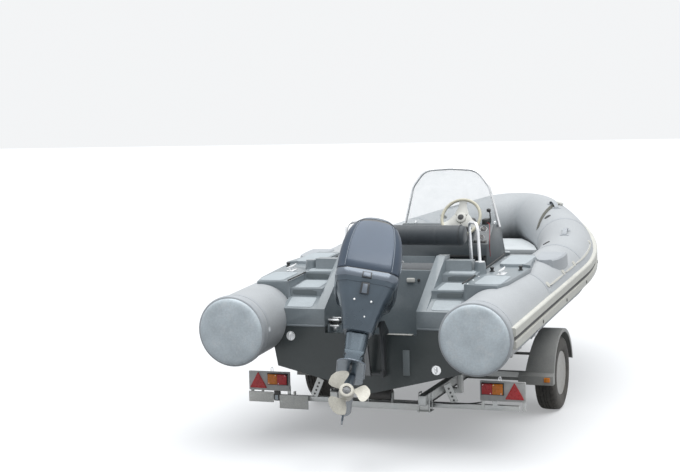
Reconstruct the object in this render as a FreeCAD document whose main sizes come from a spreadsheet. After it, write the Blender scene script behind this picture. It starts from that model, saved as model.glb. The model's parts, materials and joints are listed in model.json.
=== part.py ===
import FreeCAD, Part
import math
import os
import re
from types import SimpleNamespace

import Sketcher

# Rigid inflatable boat parked on its single-axle trailer.
# Boat axes: X to starboard, Y to the bow, Z up, zero at the keel's underside where it meets the transom.
# Every sub-part is modelled in boat axes or in its own, and its Placement puts it in the part's frame,
# whose zero is on the ground, midway between the propeller and the coupling's nose.

# One row for each driving dimension: alias, millimetres or degrees, meaning
SIZES = (
    ("keel_height", 412, "ground to the keel's underside"),
    ("rear_reach", 990, "transom back to the rearmost point of the raised outboard"),
    ("front_reach", 6080, "transom forward to the coupling's nose"),
    # Inflatable tubes
    ("tube_diameter", 520, "side tube"),
    ("tube_spacing", 1898, "between the side tubes' centre lines"),
    ("tube_height", 521, "side tube's centre over the keel, at its aft end"),
    ("tube_overhang", 450, "side tubes reach behind the transom"),
    ("tube_sheer_deg", 3.1, "side tubes rise towards the bow"),
    ("tube_straight", 2100, "transom forward to where the tubes start to curve"),
    ("tube_curve_radius", 4830, "long curve of each side tube"),
    ("nose_radius", 302, "tight curve at the stem"),
    ("tube_curve_roll_deg", 9.3, "long curve climbs by rolling its plane"),
    ("cap_overlap", 55, "end cap's rim along the tube"),
    ("cap_rim", 12, "end cap's rim stands proud"),
    ("cap_dome", 35, "end cap bulges aft"),
    ("strake_height", 158, "rubbing strake"),
    ("strake_proud", 26, "rubbing strake stands off the tube"),
    ("strake_groove", 14, "half height of the groove between its two bands"),
    ("strake_groove_depth", 14, "depth of that groove"),
    ("bond_gap", 0.3, "glue line between the tubes and what they seat in"),
    # Rigid hull
    ("hull_wall", 14, "hull skin"),
    ("transom_thickness", 50, "transom"),
    ("transom_top", 500, "transom's lip over the keel"),
    ("transom_half", 690, "transom's half width between the tubes"),
    ("well_half", 370, "half width of the lowered lip for the outboard"),
    ("well_drop", 45, "lowered lip below the transom's lip"),
    ("lip_thickness", 16, "light edge strip along the transom's lip"),
    ("floor_top", 300, "cockpit floor over the keel"),
    ("floor_thickness", 12, "cockpit floor"),
    # Stern mouldings
    ("pod_inner", 370, "well side to the centre line"),
    ("rib_width", 75, "raised rib along the well's side"),
    ("pod_outer", 720, "outer end of the boarding steps"),
    ("pod_lip", 640, "foot of the pod's boarding slope"),
    ("pod_slope_top", 540, "slope's top edge forward of the transom"),
    ("pod_top", 1000, "rib's top over the keel"),
    ("pod_front", 660, "pod's front forward of the transom"),
    ("pod_wall", 12, "pod moulding"),
    ("coaming_top", 965, "coaming's top over the keel"),
    ("coaming_width", 110, "coaming along Y"),
    ("coaming_end", 650, "coaming's outer end off the centre line"),
    ("step_low_y", 155, "lower boarding step's riser forward of the transom"),
    ("step_high_y", 450, "upper boarding step's riser forward of the transom"),
    ("step_low_z", 777, "lower boarding step's tread"),
    ("step_high_z", 868, "upper boarding step's tread"),
    ("step_rise", 60, "riser of each boarding step"),
    ("tread_slope", 25, "treads rise forward by this much"),
    ("shelf_outer", 1040, "shelf over the tube, off the centre line"),
    ("shelf_taper", 85, "shelf is narrower by this much at its forward end"),
    ("shelf_aft", 100, "shelf's aft end forward of the transom"),
    ("shelf_top", 832, "shelf over the tube"),
    ("block_back", 960, "raised block at the shelf's forward end"),
    ("bulkhead_back", 630, "front wall of the outboard's well"),
    ("bulkhead_top", 875, "that wall's top"),
    ("well_depth", 125, "well floor below the lowered lip"),
    ("coaming_front", 1400, "side coaming's and block's forward end"),
    ("coaming_inner", 700, "side coaming's inboard face"),
    ("block_top", 900, "raised block's top"),
    # Aft bench and backrest
    ("bench_front", 1150, "bench's front face"),
    ("bench_top", 820, "bench box"),
    ("bench_wall", 12, "bench panels"),
    ("bench_half", 690, "bench's half width"),
    ("cushion_thickness", 60, "bench cushion"),
    ("cushion_margin", 30, "cushion's end inside the backrest roll's end"),
    ("bolster_diameter", 170, "backrest roll"),
    ("bolster_length", 900, "backrest roll"),
    ("bolster_x", 117, "backrest roll's middle to starboard, behind the helm"),
    ("bolster_y", 700, "backrest roll forward of the transom"),
    ("bolster_z", 1147, "backrest roll over the keel"),
    ("rail_diameter", 25, "stainless tube"),
    ("rail_foot_aft", 600, "backrest's aft feet forward of the transom"),
    ("foot_top", 950, "boss under the backrest's aft foot"),
    ("rail_foot_fore", 830, "backrest's fore feet forward of the transom"),
    ("rail_foot_x", 706, "backrest's starboard aft foot off the centre line"),
    ("rail_top", 1250, "backrest frame's top run"),
    ("rail_shoulder", 755, "backrest frame's forward corner forward of the transom"),
    ("rail_lean", 16, "backrest's aft legs lean inboard"),
    ("rail_bend", 60, "backrest frame's corners"),
    ("foot_diameter", 75, "round foot plate"),
    ("foot_thickness", 6, "round foot plate"),
    # Console
    ("console_back", 1900, "console's aft face"),
    ("console_front", 2580, "console's front face at the floor"),
    ("console_half", 425, "console's half width"),
    ("console_top", 1110, "console's highest edge"),
    ("console_waist", 950, "foot of the sloped dash"),
    ("console_wall", 14, "console moulding"),
    ("console_dash_run", 210, "dash slopes forward"),
    ("locker_left", 40, "storage opening's port edge"),
    ("locker_right", 380, "storage opening's starboard edge"),
    ("locker_low", 640, "storage opening's sill"),
    ("locker_high", 830, "storage opening's head"),
    ("locker_depth", 260, "storage opening"),
    ("screen_y", 2230, "screen hoop's plane"),
    ("screen_foot", 1070, "screen hoop's foot"),
    ("screen_top", 1590, "screen hoop's crown"),
    ("screen_half", 440, "screen hoop's half width at its foot"),
    ("elbow_half", 352, "screen hoop's half width at its elbow"),
    ("elbow_height", 1430, "screen hoop's elbow"),
    ("screen_shoulder", 240, "screen hoop's half width where the crown starts"),
    ("crown_drop", 15, "screen hoop's shoulder below its crown"),
    ("screen_bend", 160, "screen hoop's corners"),
    ("screen_thickness", 5, "clear screen"),
    # Helm
    ("helm_x", 200, "steering wheel's centre off the centre line"),
    ("helm_y", 1845, "steering wheel's centre"),
    ("helm_z", 1185, "steering wheel's centre"),
    ("helm_diameter", 340, "steering wheel over the rim's middle"),
    ("helm_rim", 30, "steering wheel's rim"),
    ("helm_rake_deg", 30, "steering wheel faces up by this much"),
    ("helm_hub", 95, "steering wheel's hub"),
    ("helm_pod", 70, "radius of the steering boss on the dash"),
    ("lever_x", 340, "engine control off the centre line"),
    # Bow
    ("bowbox_back", 3250, "bow locker's aft face"),
    ("bowbox_front", 4250, "bow locker's forward end"),
    ("bowbox_top", 712, "bow locker's top"),
    ("locker_gap", 30, "bow locker's walls to the tubes, seen from above"),
    ("locker_wall", 16, "bow locker's walls"),
    ("locker_rise", 40, "bow locker's walls over the hull's rail"),
    ("lid_thickness", 45, "bow locker's lid"),
    ("lid_gap", 10, "running gap between the bow lid and the tubes, seen from above"),
    ("lid_overhang", 8, "bow lid past the locker's forward wall"),
    ("hinge_radius", 9, "bow lid's hinge barrels"),
    ("hinge_rise", 16, "bow lid's hinge over the locker's top"),
    ("hinge_length", 90, "each hinge barrel"),
    ("hinge_spread", 180, "hinge barrels start this far off the centre line"),
    # Trailer
    ("tyre_diameter", 620, "road tyre"),
    ("tyre_width", 180, "road tyre"),
    ("rim_diameter", 356, "road wheel rim"),
    ("track", 2050, "between the road tyres' middles"),
    ("axle_y", 1650, "axle forward of the transom"),
    ("beam_width", 60, "side beams"),
    ("beam_depth", 80, "side beams"),
    ("beam_top", 25, "side beams' top below the keel"),
    ("beam_half", 360, "side beams off the centre line"),
    ("cross_depth", 50, "cross beams under the side beams"),
    ("beam_back", 120, "side beams' aft end"),
    ("beam_bend", 3300, "side beams start to close in"),
    ("beam_front", 4900, "side beams meet the drawbar"),
    ("drawbar_back", 4560, "drawbar's aft end"),
    ("drawbar_front", 5860, "drawbar's forward end"),
    ("drawbar_width", 80, "drawbar"),
    ("axle_tube", 60, "square axle tube under the side beams"),
    ("stub_radius", 28, "axle stub the wheel turns on"),
    ("stub_reach", 45, "axle stub past the tyre's middle"),
    ("arm_width", 40, "arm from the axle tube up to the stub"),
    ("guard_gap", 60, "tyre to mudguard"),
    ("guard_skin", 5, "mudguard"),
    ("guard_inner", 150, "mudguard inboard of the tyre's middle"),
    ("guard_outer", 100, "mudguard outboard of the tyre's middle"),
    ("guard_lip", 25, "mudguard's outer lip turns in"),
    ("guard_low", 30, "mudguard's rear end below the axle"),
    ("guard_front", 65, "mudguard's front end above the axle"),
    ("stay_width", 25, "mudguard's stays along Y"),
    ("stay_depth", 20, "mudguard's stays"),
    ("guard_taper", 60, "mudguard's inner edge comes out by this much at its top"),
    ("guard_foot", 95, "mudguard's rear foot is this high"),
    ("bunk_x", 520, "bunks off the centre line"),
    ("bunk_width", 90, "bunk"),
    ("bunk_depth", 45, "bunk"),
    ("bunk_back", 420, "bunk's aft end"),
    ("bunk_front", 2500, "bunk's forward end"),
    ("roller_diameter", 90, "keel roller"),
    ("roller_length", 180, "keel roller"),
    ("socket_diameter", 50.1, "ball socket in the coupling"),
    ("socket_depth", 35, "ball socket in the coupling"),
    ("socket_back", 55, "ball socket behind the coupling's nose"),
    ("winch_gap", 372, "winch post forward of the tubes' centre line at the stem"),
    ("winch_post", 60, "square winch post"),
    ("winch_width", 140, "winch"),
    ("winch_depth", 90, "winch"),
    ("winch_height", 110, "winch"),
    ("strap_width", 50, "winch strap"),
    ("strap_thickness", 3, "winch strap"),
    ("eye_reach", 24, "lashing eye's bend"),
    ("eye_bar", 6, "radius of the lashing eye's bar"),
    ("eye_rise", 60, "bow eye over the keel's forward end"),
    ("cleat_x", 880, "stern cleat off the centre line"),
    ("cleat_y", 600, "stern cleat forward of the transom"),
    ("cleat_length", 150, "stern cleat"),
    ("winch_top", 760, "winch post over the keel"),
    ("jockey_y", 5420, "jockey wheel's post forward of the transom"),
    ("jockey_x", 150, "jockey wheel's post to port"),
    ("jockey_diameter", 220, "jockey wheel"),
    ("jockey_width", 60, "jockey wheel"),
    ("jockey_neck", 60, "jockey fork's neck inside its post"),
    ("jockey_trail", 45, "jockey wheel trails its post"),
    ("lamp_y", 250, "lamp boards forward of the transom"),
    ("lamp_inner", 783, "lamp board's inner edge"),
    ("lamp_outer", 1139, "lamp board's outer edge"),
    ("lamp_low", -70, "lamp board's lower edge over the keel"),
    ("lamp_high", 85, "lamp board's upper edge over the keel"),
    ("lamp_thickness", 22, "lamp board"),
    ("lamp_bar", 40, "square bar across behind the lamp boards"),
    ("lens_size", 82, "red and amber lenses"),
    ("lens_margin", 18, "lenses inside the board's edges"),
    ("lens_depth", 25, "lenses stand off the board"),
    ("triangle_side", 150, "red triangle"),
    ("triangle_depth", 8, "red triangle"),
    ("plate_width", 215, "blank plate under the port board"),
    ("plate_height", 85, "blank plate under the port board"),
    # Outboard
    ("tilt_y", -60, "tilt axis behind the transom face"),
    ("tilt_z", 545, "tilt axis over the keel"),
    ("tilt_deg", 33, "outboard tilted up at rest"),
    ("steer_deg", 20, "outboard steered at rest"),
    ("swivel_y", -150, "steering axis behind the tilt axis"),
    ("swivel_barrel", 68, "steering barrel"),
    ("shaft_y", -220, "drive shaft behind the tilt axis"),
    ("cowl_top", 672, "cowl's top over the tilt axis"),
    ("cowl_seam", 200, "cowl's seam over the tilt axis"),
    ("cowl_floor", 100, "lower cowl's underside over the tilt axis"),
    ("cowl_back", -570, "cowl's aft end from the tilt axis"),
    ("cowl_front", 70, "cowl's front from the tilt axis"),
    ("cowl_half", 235, "cowl's half width"),
    ("cowl_wall", 6, "cowl"),
    ("cowl_corner", 130, "radius of the cowl's upright corners"),
    ("tray_skin", 15, "floor of the lower cowl"),
    ("apron_front", -196, "front of the leg below the cowl, from the tilt axis"),
    ("apron_low", -235, "foot of the apron under the cowl"),
    ("leg_half", 85, "half width of the leg at its top"),
    ("leg_foot_half", 58, "half width of the leg at its foot"),
    ("plate_z", -540, "plate above the propeller from the tilt axis"),
    ("prop_z", -745, "propeller shaft from the tilt axis"),
    ("prop_y", -520, "propeller's middle from the tilt axis"),
    ("prop_diameter", 337, "propeller"),
    ("prop_hub", 110, "propeller hub"),
    ("prop_hub_length", 100, "propeller hub"),
    ("skeg_z", -905, "skeg's foot from the tilt axis"),
    ("torpedo", 100, "gearcase torpedo"),
    ("clamp_x", 100, "inner face of the clamp's cheeks off the centre line"),
    ("clamp_thickness", 24, "clamp's cheeks"),
    ("ram_foot_y", 0, "tilt ram's foot from the tilt axis"),
    ("ram_foot_z", -380, "tilt ram's foot from the tilt axis"),
    ("ram_eye_y", -72, "tilt ram's eye on the upright swivel bracket"),
    ("ram_eye_z", -60, "tilt ram's eye on the upright swivel bracket"),
    ("ram_diameter", 44, "tilt ram's cylinder"),
    ("ram_rod", 20, "tilt ram's rod"),
    ("ram_length", 235, "tilt ram's cylinder from its foot"),
    ("running_gap", 5, "between moving pieces"),
    ("pin_play", 0.08, "pin in its bore"),
)

doc = FreeCAD.newDocument("rib_boat")
sheet = doc.addObject("Spreadsheet::Sheet", "Sizes")
for row, (alias, value, meaning) in enumerate(SIZES, start=1):
    sheet.set(f"A{row}", meaning)
    sheet.set(f"B{row}", str(value))
    sheet.setAlias(f"B{row}", alias)
doc.recompute()
ALIASES = {alias for alias, value, meaning in SIZES}
s = SimpleNamespace(**{alias: float(sheet.get(alias)) for alias in ALIASES})
subparts = []


def vec(x, y, z):
    return FreeCAD.Vector(x, y, z)


X, Y, Z = vec(1, 0, 0), vec(0, 1, 0), vec(0, 0, 1)
PLACE_Y = "(rear_reach - front_reach) / 2"
PLACE_Z = "keel_height"
PLACE = vec(0, (s.rear_reach - s.front_reach) / 2, s.keel_height)
TURN = {
    "x": FreeCAD.Rotation(Z, X),
    "y": FreeCAD.Rotation(Z, Y),
    "z": FreeCAD.Rotation(),
}


def bind(obj, prop, expression):
    """Tie a property to an expression of the sheet's aliases."""
    text = re.sub(r"[a-z_]+[a-z]", lambda m: ("Sizes." if m.group(0) in ALIASES else "") + m.group(0), expression)
    obj.setExpression(prop, text)


def bind_base(obj, x, y, z):
    for axis, expression in zip("xyz", (x, y, z)):
        bind(obj, f"Placement.Base.{axis}", expression)


def subpart(obj, node):
    """Name a sub-part and put it from boat axes into the part's frame."""
    if obj.TypeId in ("Part::Box", "Part::Cylinder"):
        obj = grouped(obj.Name + "_placed", [obj])
    obj.Label = node
    bind_base(obj, "0", PLACE_Y, PLACE_Z)
    subparts.append(obj)
    return obj


def block(name, x, y, z):
    """Box between pairs of expressions along X, Y and Z."""
    obj = doc.addObject("Part::Box", name)
    for prop, (low, high) in zip(("Length", "Width", "Height"), (x, y, z)):
        bind(obj, prop, f"({high}) - ({low})")
    bind_base(obj, x[0], y[0], z[0])
    return obj


def rod(name, axis, radius, length, x, y, z):
    """Cylinder along an axis from a base point given as expressions."""
    obj = doc.addObject("Part::Cylinder", name)
    obj.Placement = FreeCAD.Placement(vec(0, 0, 0), TURN[axis])
    bind(obj, "Radius", radius)
    bind(obj, "Height", length)
    bind_base(obj, x, y, z)
    return obj


def fused(name, pieces):
    obj = doc.addObject("Part::MultiFuse", name)
    obj.Shapes = pieces
    return obj


def grouped(name, pieces):
    """Like pieces on one body that don't touch."""
    obj = doc.addObject("Part::Compound", name)
    obj.Links = pieces
    return obj


def cut(name, base, tool):
    obj = doc.addObject("Part::Cut", name)
    obj.Base = base
    obj.Tool = tool
    return obj


def mirrored(name, source):
    """The same piece on the port side."""
    obj = doc.addObject("Part::Mirroring", name)
    obj.Source = source
    obj.Normal = X
    return obj


def both_sides(name, piece):
    return grouped(name, [piece, mirrored(name + "_port", piece)])


def feature(name, shape):
    obj = doc.addObject("Part::Feature", name)
    obj.Shape = shape
    return obj


PLANES = {"XY": "XY_Plane", "XZ": "XZ_Plane", "YZ": "YZ_Plane"}


def origin_plane(body, role):
    return next(item for item in body.Origin.OriginFeatures if item.Role == PLANES[role])


def closed_sketch(body, name, role, points):
    """Sketch of a closed outline whose corners are tied to pairs of expressions."""
    sketch = body.newObject("Sketcher::SketchObject", name)
    sketch.AttachmentSupport = (origin_plane(body, role), [""])
    sketch.MapMode = "FlatFace"
    count = len(points)
    start = [vec(100 * math.cos(6.28 * i / count), 100 * math.sin(6.28 * i / count), 0) for i in range(count)]
    for i in range(count):
        sketch.addGeometry(Part.LineSegment(start[i], start[(i + 1) % count]), False)
    for i in range(count):
        sketch.addConstraint(Sketcher.Constraint("Coincident", i, 2, (i + 1) % count, 1))
    for i, (across, up) in enumerate(points):
        for kind, axis, expression in (("DistanceX", -2, across), ("DistanceY", -1, up)):
            if expression == "0":
                sketch.addConstraint(Sketcher.Constraint("PointOnObject", i, 1, axis))
                continue
            index = sketch.addConstraint(Sketcher.Constraint(kind, -1, 1, i, 1, 10.0))
            bind(sketch, f"Constraints[{index}]", expression)
    return sketch


def prism(name, role, points, low, high):
    """Body padded from an outline on an origin plane, between two expressions along that plane's axis."""
    body = doc.addObject("PartDesign::Body", name)
    sketch = closed_sketch(body, name + "_outline", role, points)
    # The XZ plane looks aft, so its pad runs from the higher Y down
    offset = f"-({high})" if role == "XZ" else low
    bind(sketch, "AttachmentOffset.Base.z", offset)
    pad = body.newObject("PartDesign::Pad", name + "_pad")
    pad.Profile = sketch
    bind(pad, "Length", f"({high}) - ({low})")
    body.Tip = pad
    return body


def turned(name, role, points, axis_name):
    """Body turned from an outline about one of its sketch's axes."""
    body = doc.addObject("PartDesign::Body", name)
    sketch = closed_sketch(body, name + "_outline", role, points)
    turn = body.newObject("PartDesign::Revolution", name + "_turn")
    turn.Profile = sketch
    turn.ReferenceAxis = (sketch, [axis_name])
    turn.Angle = 360
    body.Tip = turn
    return body


def bent_path(points, bend):
    """Edges of straight runs joined by arcs of one bend radius."""
    edges = []
    start = points[0]
    for i in range(1, len(points) - 1):
        before = (points[i - 1] - points[i]).normalize()
        after = (points[i + 1] - points[i]).normalize()
        half = before.getAngle(after) / 2
        reach = bend / math.tan(half)
        first = points[i] + before * reach
        last = points[i] + after * reach
        toward = (before + after).normalize()
        middle = points[i] + toward * (bend / math.sin(half) - bend)
        edges.append(Part.LineSegment(start, first).toShape())
        edges.append(Part.Arc(first, middle, last).toShape())
        start = last
    edges.append(Part.LineSegment(start, points[-1]).toShape())
    return edges


def tube_along(points, radius, bend):
    """Round bar along a bent path."""
    circle = Part.Circle(points[0], points[1] - points[0], radius)
    return Part.Wire(bent_path(points, bend)).makePipeShell([Part.Wire(circle.toShape())], True, True)


def rounded_rectangle(half_x, low_y, high_y, z, radius):
    """Wire at height z with rounded corners."""
    x0, x1, y0, y1 = -half_x, half_x, low_y, high_y
    k = radius * (1 - math.sqrt(0.5))
    corners = (
        (vec(x1 - radius, y0, z), vec(x1 - k, y0 + k, z), vec(x1, y0 + radius, z)),
        (vec(x1, y1 - radius, z), vec(x1 - k, y1 - k, z), vec(x1 - radius, y1, z)),
        (vec(x0 + radius, y1, z), vec(x0 + k, y1 - k, z), vec(x0, y1 - radius, z)),
        (vec(x0, y0 + radius, z), vec(x0 + k, y0 + k, z), vec(x0 + radius, y0, z)),
    )
    edges = []
    for i, (first, middle, last) in enumerate(corners):
        edges.append(Part.Arc(first, middle, last).toShape())
        edges.append(Part.LineSegment(last, corners[(i + 1) % 4][0]).toShape())
    return Part.Wire(edges)


def polygon(points):
    return Part.makePolygon(list(points) + [points[0]])


# Tube centre line on the starboard side: a straight run, a long curve and a tight one to the stem
def tube_path():
    sheer = math.radians(s.tube_sheer_deg)
    roll = math.radians(s.tube_curve_roll_deg)
    ahead = vec(0, math.cos(sheer), math.sin(sheer))
    inward = vec(-math.cos(roll), -math.sin(sheer) * math.sin(roll), math.cos(sheer) * math.sin(roll))
    aft = vec(s.tube_spacing / 2, -s.tube_overhang, s.tube_height)
    bend = aft + ahead * ((s.tube_straight + s.tube_overhang) / math.cos(sheer))
    centre = bend + inward * s.tube_curve_radius
    # The long curve turns until the tight one, of its own radius, just reaches the stem
    low, high = 0, math.pi / 2
    while high - low > 1e-13:
        turn = (low + high) / 2
        reach = s.tube_curve_radius * (math.cos(turn) - 1) * math.cos(roll) + s.tube_spacing / 2
        nose_turn = (ahead * math.cos(turn) + inward * math.sin(turn)).getAngle(-X)
        low, high = (turn, high) if reach > s.nose_radius * math.sin(nose_turn) else (low, turn)
    shoulder = centre - inward * (s.tube_curve_radius * math.cos(turn)) + ahead * (
        s.tube_curve_radius * math.sin(turn)
    )
    heading = ahead * math.cos(turn) + inward * math.sin(turn)
    nose_inward = (-X - heading * math.cos(nose_turn)).normalize()
    nose_centre = shoulder + nose_inward * s.nose_radius
    stem = nose_centre - nose_inward * (s.nose_radius * math.cos(nose_turn)) + heading * (
        s.nose_radius * math.sin(nose_turn)
    )
    return SimpleNamespace(
        aft=aft, ahead=ahead, inward=inward, bend=bend, centre=centre, axis=ahead.cross(inward), stem=stem,
        turn=turn,
        shoulder=shoulder, nose_centre=nose_centre, nose_axis=heading.cross(nose_inward),
        nose_turn=math.degrees(nose_turn), up=X.cross(ahead),
    )


path = tube_path()


def swept_side(section, start=0):
    """Sweep a section, drawn at the tube's aft end, along the straight run from a start along it."""
    moved = section.copy()
    moved.translate(path.ahead * start)
    return moved.extrude(path.bend - path.aft - path.ahead * start)


def swept_bow(section):
    """Sweep the same section round both curves, to the stem and back down the port side."""
    face = section.copy()
    face.translate(path.bend - path.aft)
    curve = face.revolve(path.centre, path.axis, math.degrees(path.turn))
    face.rotate(path.centre, path.axis, math.degrees(path.turn))
    nose = face.revolve(path.nose_centre, path.nose_axis, path.nose_turn)
    half = curve.fuse(nose).removeSplitter()
    return half.fuse(half.mirror(vec(0, 0, 0), X)).removeSplitter()


def disc(radius):
    return Part.Face(Part.Wire(Part.Circle(path.aft, path.ahead, radius).toShape()))


def on_tube(out, up):
    """Point at the tube's aft end, outboard and above its centre line."""
    return path.aft + X * out + path.up * up


def strake_section():
    """Two flat bands with a groove between, on the outer side of the tube."""
    inner = s.tube_diameter / 2 + s.bond_gap
    outer = s.tube_diameter / 2 + s.strake_proud
    half = s.strake_height / 2
    root = math.sqrt(inner**2 - half**2)
    floor = outer - s.strake_groove_depth
    corners = (
        (root, half), (outer - 6, half), (outer, half - 8), (outer, s.strake_groove + 6),
        (floor, s.strake_groove), (floor, -s.strake_groove), (outer, -s.strake_groove - 6),
        (outer, 8 - half), (outer - 6, -half), (root, -half),
    )
    points = [on_tube(out, up) for out, up in corners]
    edges = [Part.LineSegment(a, b).toShape() for a, b in zip(points, points[1:])]
    edges.append(Part.Arc(points[-1], on_tube(inner, 0), points[0]).toShape())
    return Part.Face(Part.Wire(edges))


def tubes():
    radius = s.tube_diameter / 2
    side = feature("tube_starboard_shape", swept_side(disc(radius)))
    subpart(grouped("tube_starboard_group", [side]), "tube_starboard")
    subpart(grouped("tube_port_group", [mirrored("tube_port_shape", side)]), "tube_port")
    subpart(feature("tube_bow_shape", swept_bow(disc(radius))), "tube_bow")
    strake = swept_bow(strake_section())
    run = swept_side(strake_section(), s.cap_overlap + 1)
    whole = strake.fuse([run, run.mirror(vec(0, 0, 0), X)]).removeSplitter()
    subpart(feature("rubbing_strake_shape", whole), "rubbing_strake")
    # Each end cap is a shallow dome with a rim that laps over the tube
    rim = radius + s.cap_rim
    bore = radius + s.bond_gap
    crown = (rim**2 + s.cap_dome**2) / (2 * s.cap_dome)
    ball = Part.makeSphere(crown, vec(0, 0, s.cap_dome - crown))
    lid = Part.makeCylinder(rim, s.cap_overlap + s.cap_dome, vec(0, 0, -s.cap_overlap))
    lid = lid.common(ball.fuse(Part.makeCylinder(rim, s.cap_overlap, vec(0, 0, -s.cap_overlap))))
    lid = lid.cut(Part.makeCylinder(bore, s.cap_overlap, vec(0, 0, -s.cap_overlap)))
    lid.Placement = FreeCAD.Placement(path.aft, FreeCAD.Rotation(Z, -path.ahead))
    subpart(both_sides("end_caps_pair", feature("end_cap_shape", lid)), "end_caps")


def tube_envelope(gap):
    """Tubes grown by a gap, to cut the seats of what they rest on."""
    face = disc(s.tube_diameter / 2 + gap)
    side = swept_side(face)
    return swept_bow(face).fuse([side, side.mirror(vec(0, 0, 0), X)])


# Hull stations: forward of the transom, keel's height, chine's half width and height, rail's half width and height
STATIONS = (
    (0, 0, 770, 187, 830, 520),
    (2000, 0, 770, 195, 850, 620),
    (3000, 25, 690, 290, 800, 700),
    (3800, 130, 480, 420, 640, 790),
    (4350, 330, 250, 560, 420, 860),
    (4640, 560, 60, 700, 160, 900),
)


def hull_solid(inset, start, rise):
    """Hull between its stations, inset by a skin, from a start line and with its rail raised."""
    wires = []
    for y, keel, chine_x, chine_z, rail_x, rail_z in STATIONS:
        half = max(chine_x - inset, 8)
        top = max(rail_x - inset, 10)
        shift = start if y == 0 else 0
        lift = inset * 1.1
        wires.append(polygon([
            vec(0, y + shift - (inset if y == STATIONS[-1][0] else 0), keel + lift),
            vec(half, y + shift - (inset if y == STATIONS[-1][0] else 0), chine_z + lift),
            vec(top, y + shift - (inset if y == STATIONS[-1][0] else 0), rail_z + rise),
            vec(-top, y + shift - (inset if y == STATIONS[-1][0] else 0), rail_z + rise),
            vec(-half, y + shift - (inset if y == STATIONS[-1][0] else 0), chine_z + lift),
        ]))
    return Part.makeLoft(wires, True, True)


def hull_and_floor():
    seat = tube_envelope(s.bond_gap)
    outer = hull_solid(0, 0, 0)
    cavity = hull_solid(s.hull_wall, s.transom_thickness, 40)
    shell = outer.cut(cavity).cut(seat)
    wide = s.tube_spacing
    above = Part.makeBox(2 * wide, 2 * s.transom_thickness, wide, vec(-wide, -s.transom_thickness, s.transom_top))
    notch = Part.makeBox(2 * s.well_half, 2 * s.transom_thickness, wide, vec(-s.well_half, -1, s.transom_top - s.well_drop))
    shell = shell.cut(above).cut(notch)
    solids = sorted(shell.Solids, key=lambda item: item.Volume)
    subpart(feature("hull_shape", solids[-1]), "hull")
    slab = Part.makeBox(2 * wide, path.stem.y, s.floor_thickness, vec(-wide, 0, s.floor_top - s.floor_thickness))
    floor = cavity.common(slab).cut(seat)
    solids = sorted(floor.Solids, key=lambda item: item.Volume)
    subpart(feature("floor_shape", solids[-1]), "cockpit_floor")
    return feature("tube_seat", seat)


def in_deck_plane(outline, low, high):
    """Solid over an outline of boat X and Y, between two heights over the shelf's plane, which rises with the tubes."""
    sheer = math.radians(s.tube_sheer_deg)
    face = Part.Face(polygon([vec(x, (y - s.shelf_aft) / math.cos(sheer), low) for x, y in outline]))
    solid = face.extrude(Z * (high - low))
    solid.Placement = FreeCAD.Placement(vec(0, s.shelf_aft, s.shelf_top), FreeCAD.Rotation(X, s.tube_sheer_deg))
    return solid


def shelf(seat):
    """Moulding over the tube outboard of the pod, with a raised block at its forward end."""
    wall = s.pod_wall
    inner = s.pod_outer - wall
    outer = s.shelf_outer
    front = outer - s.shelf_taper
    outline = (
        (inner, s.shelf_aft + 30), (outer - 70, s.shelf_aft), (outer - 30, s.shelf_aft + 180),
        (outer, s.block_back - 80), (front, s.coaming_front), (s.coaming_inner, s.coaming_front),
        (s.coaming_inner, s.pod_front), (inner, s.pod_front),
    )
    room = (
        (inner + wall, s.shelf_aft + 30 + wall), (outer - 70 - wall, s.shelf_aft + wall),
        (outer - 30 - wall, s.shelf_aft + 180), (outer - wall, s.block_back - 80),
        (front - wall, s.coaming_front - wall), (s.coaming_inner + wall, s.coaming_front - wall),
        (s.coaming_inner + wall, s.pod_front), (inner + wall, s.pod_front),
    )
    raised = (
        (outer, s.block_back - 80), (front, s.coaming_front), (s.coaming_inner + 50, s.coaming_front),
        (s.coaming_inner + 50, s.block_back + 80),
    )
    depth = 260
    rise = s.block_top - s.shelf_top - (s.block_back - s.shelf_aft) * math.tan(math.radians(s.tube_sheer_deg))
    whole = in_deck_plane(outline, -depth, 0).fuse(in_deck_plane(raised, -1, rise))
    boss = Part.makeCone(s.foot_diameter * 0.8, s.foot_diameter * 0.55, s.foot_top - s.shelf_top + 40,
                         vec(s.rail_foot_x, s.rail_foot_aft, s.shelf_top - 40))
    return whole.cut(in_deck_plane(room, -depth, -wall)).fuse(boss).cut(seat.Shape)


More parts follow.
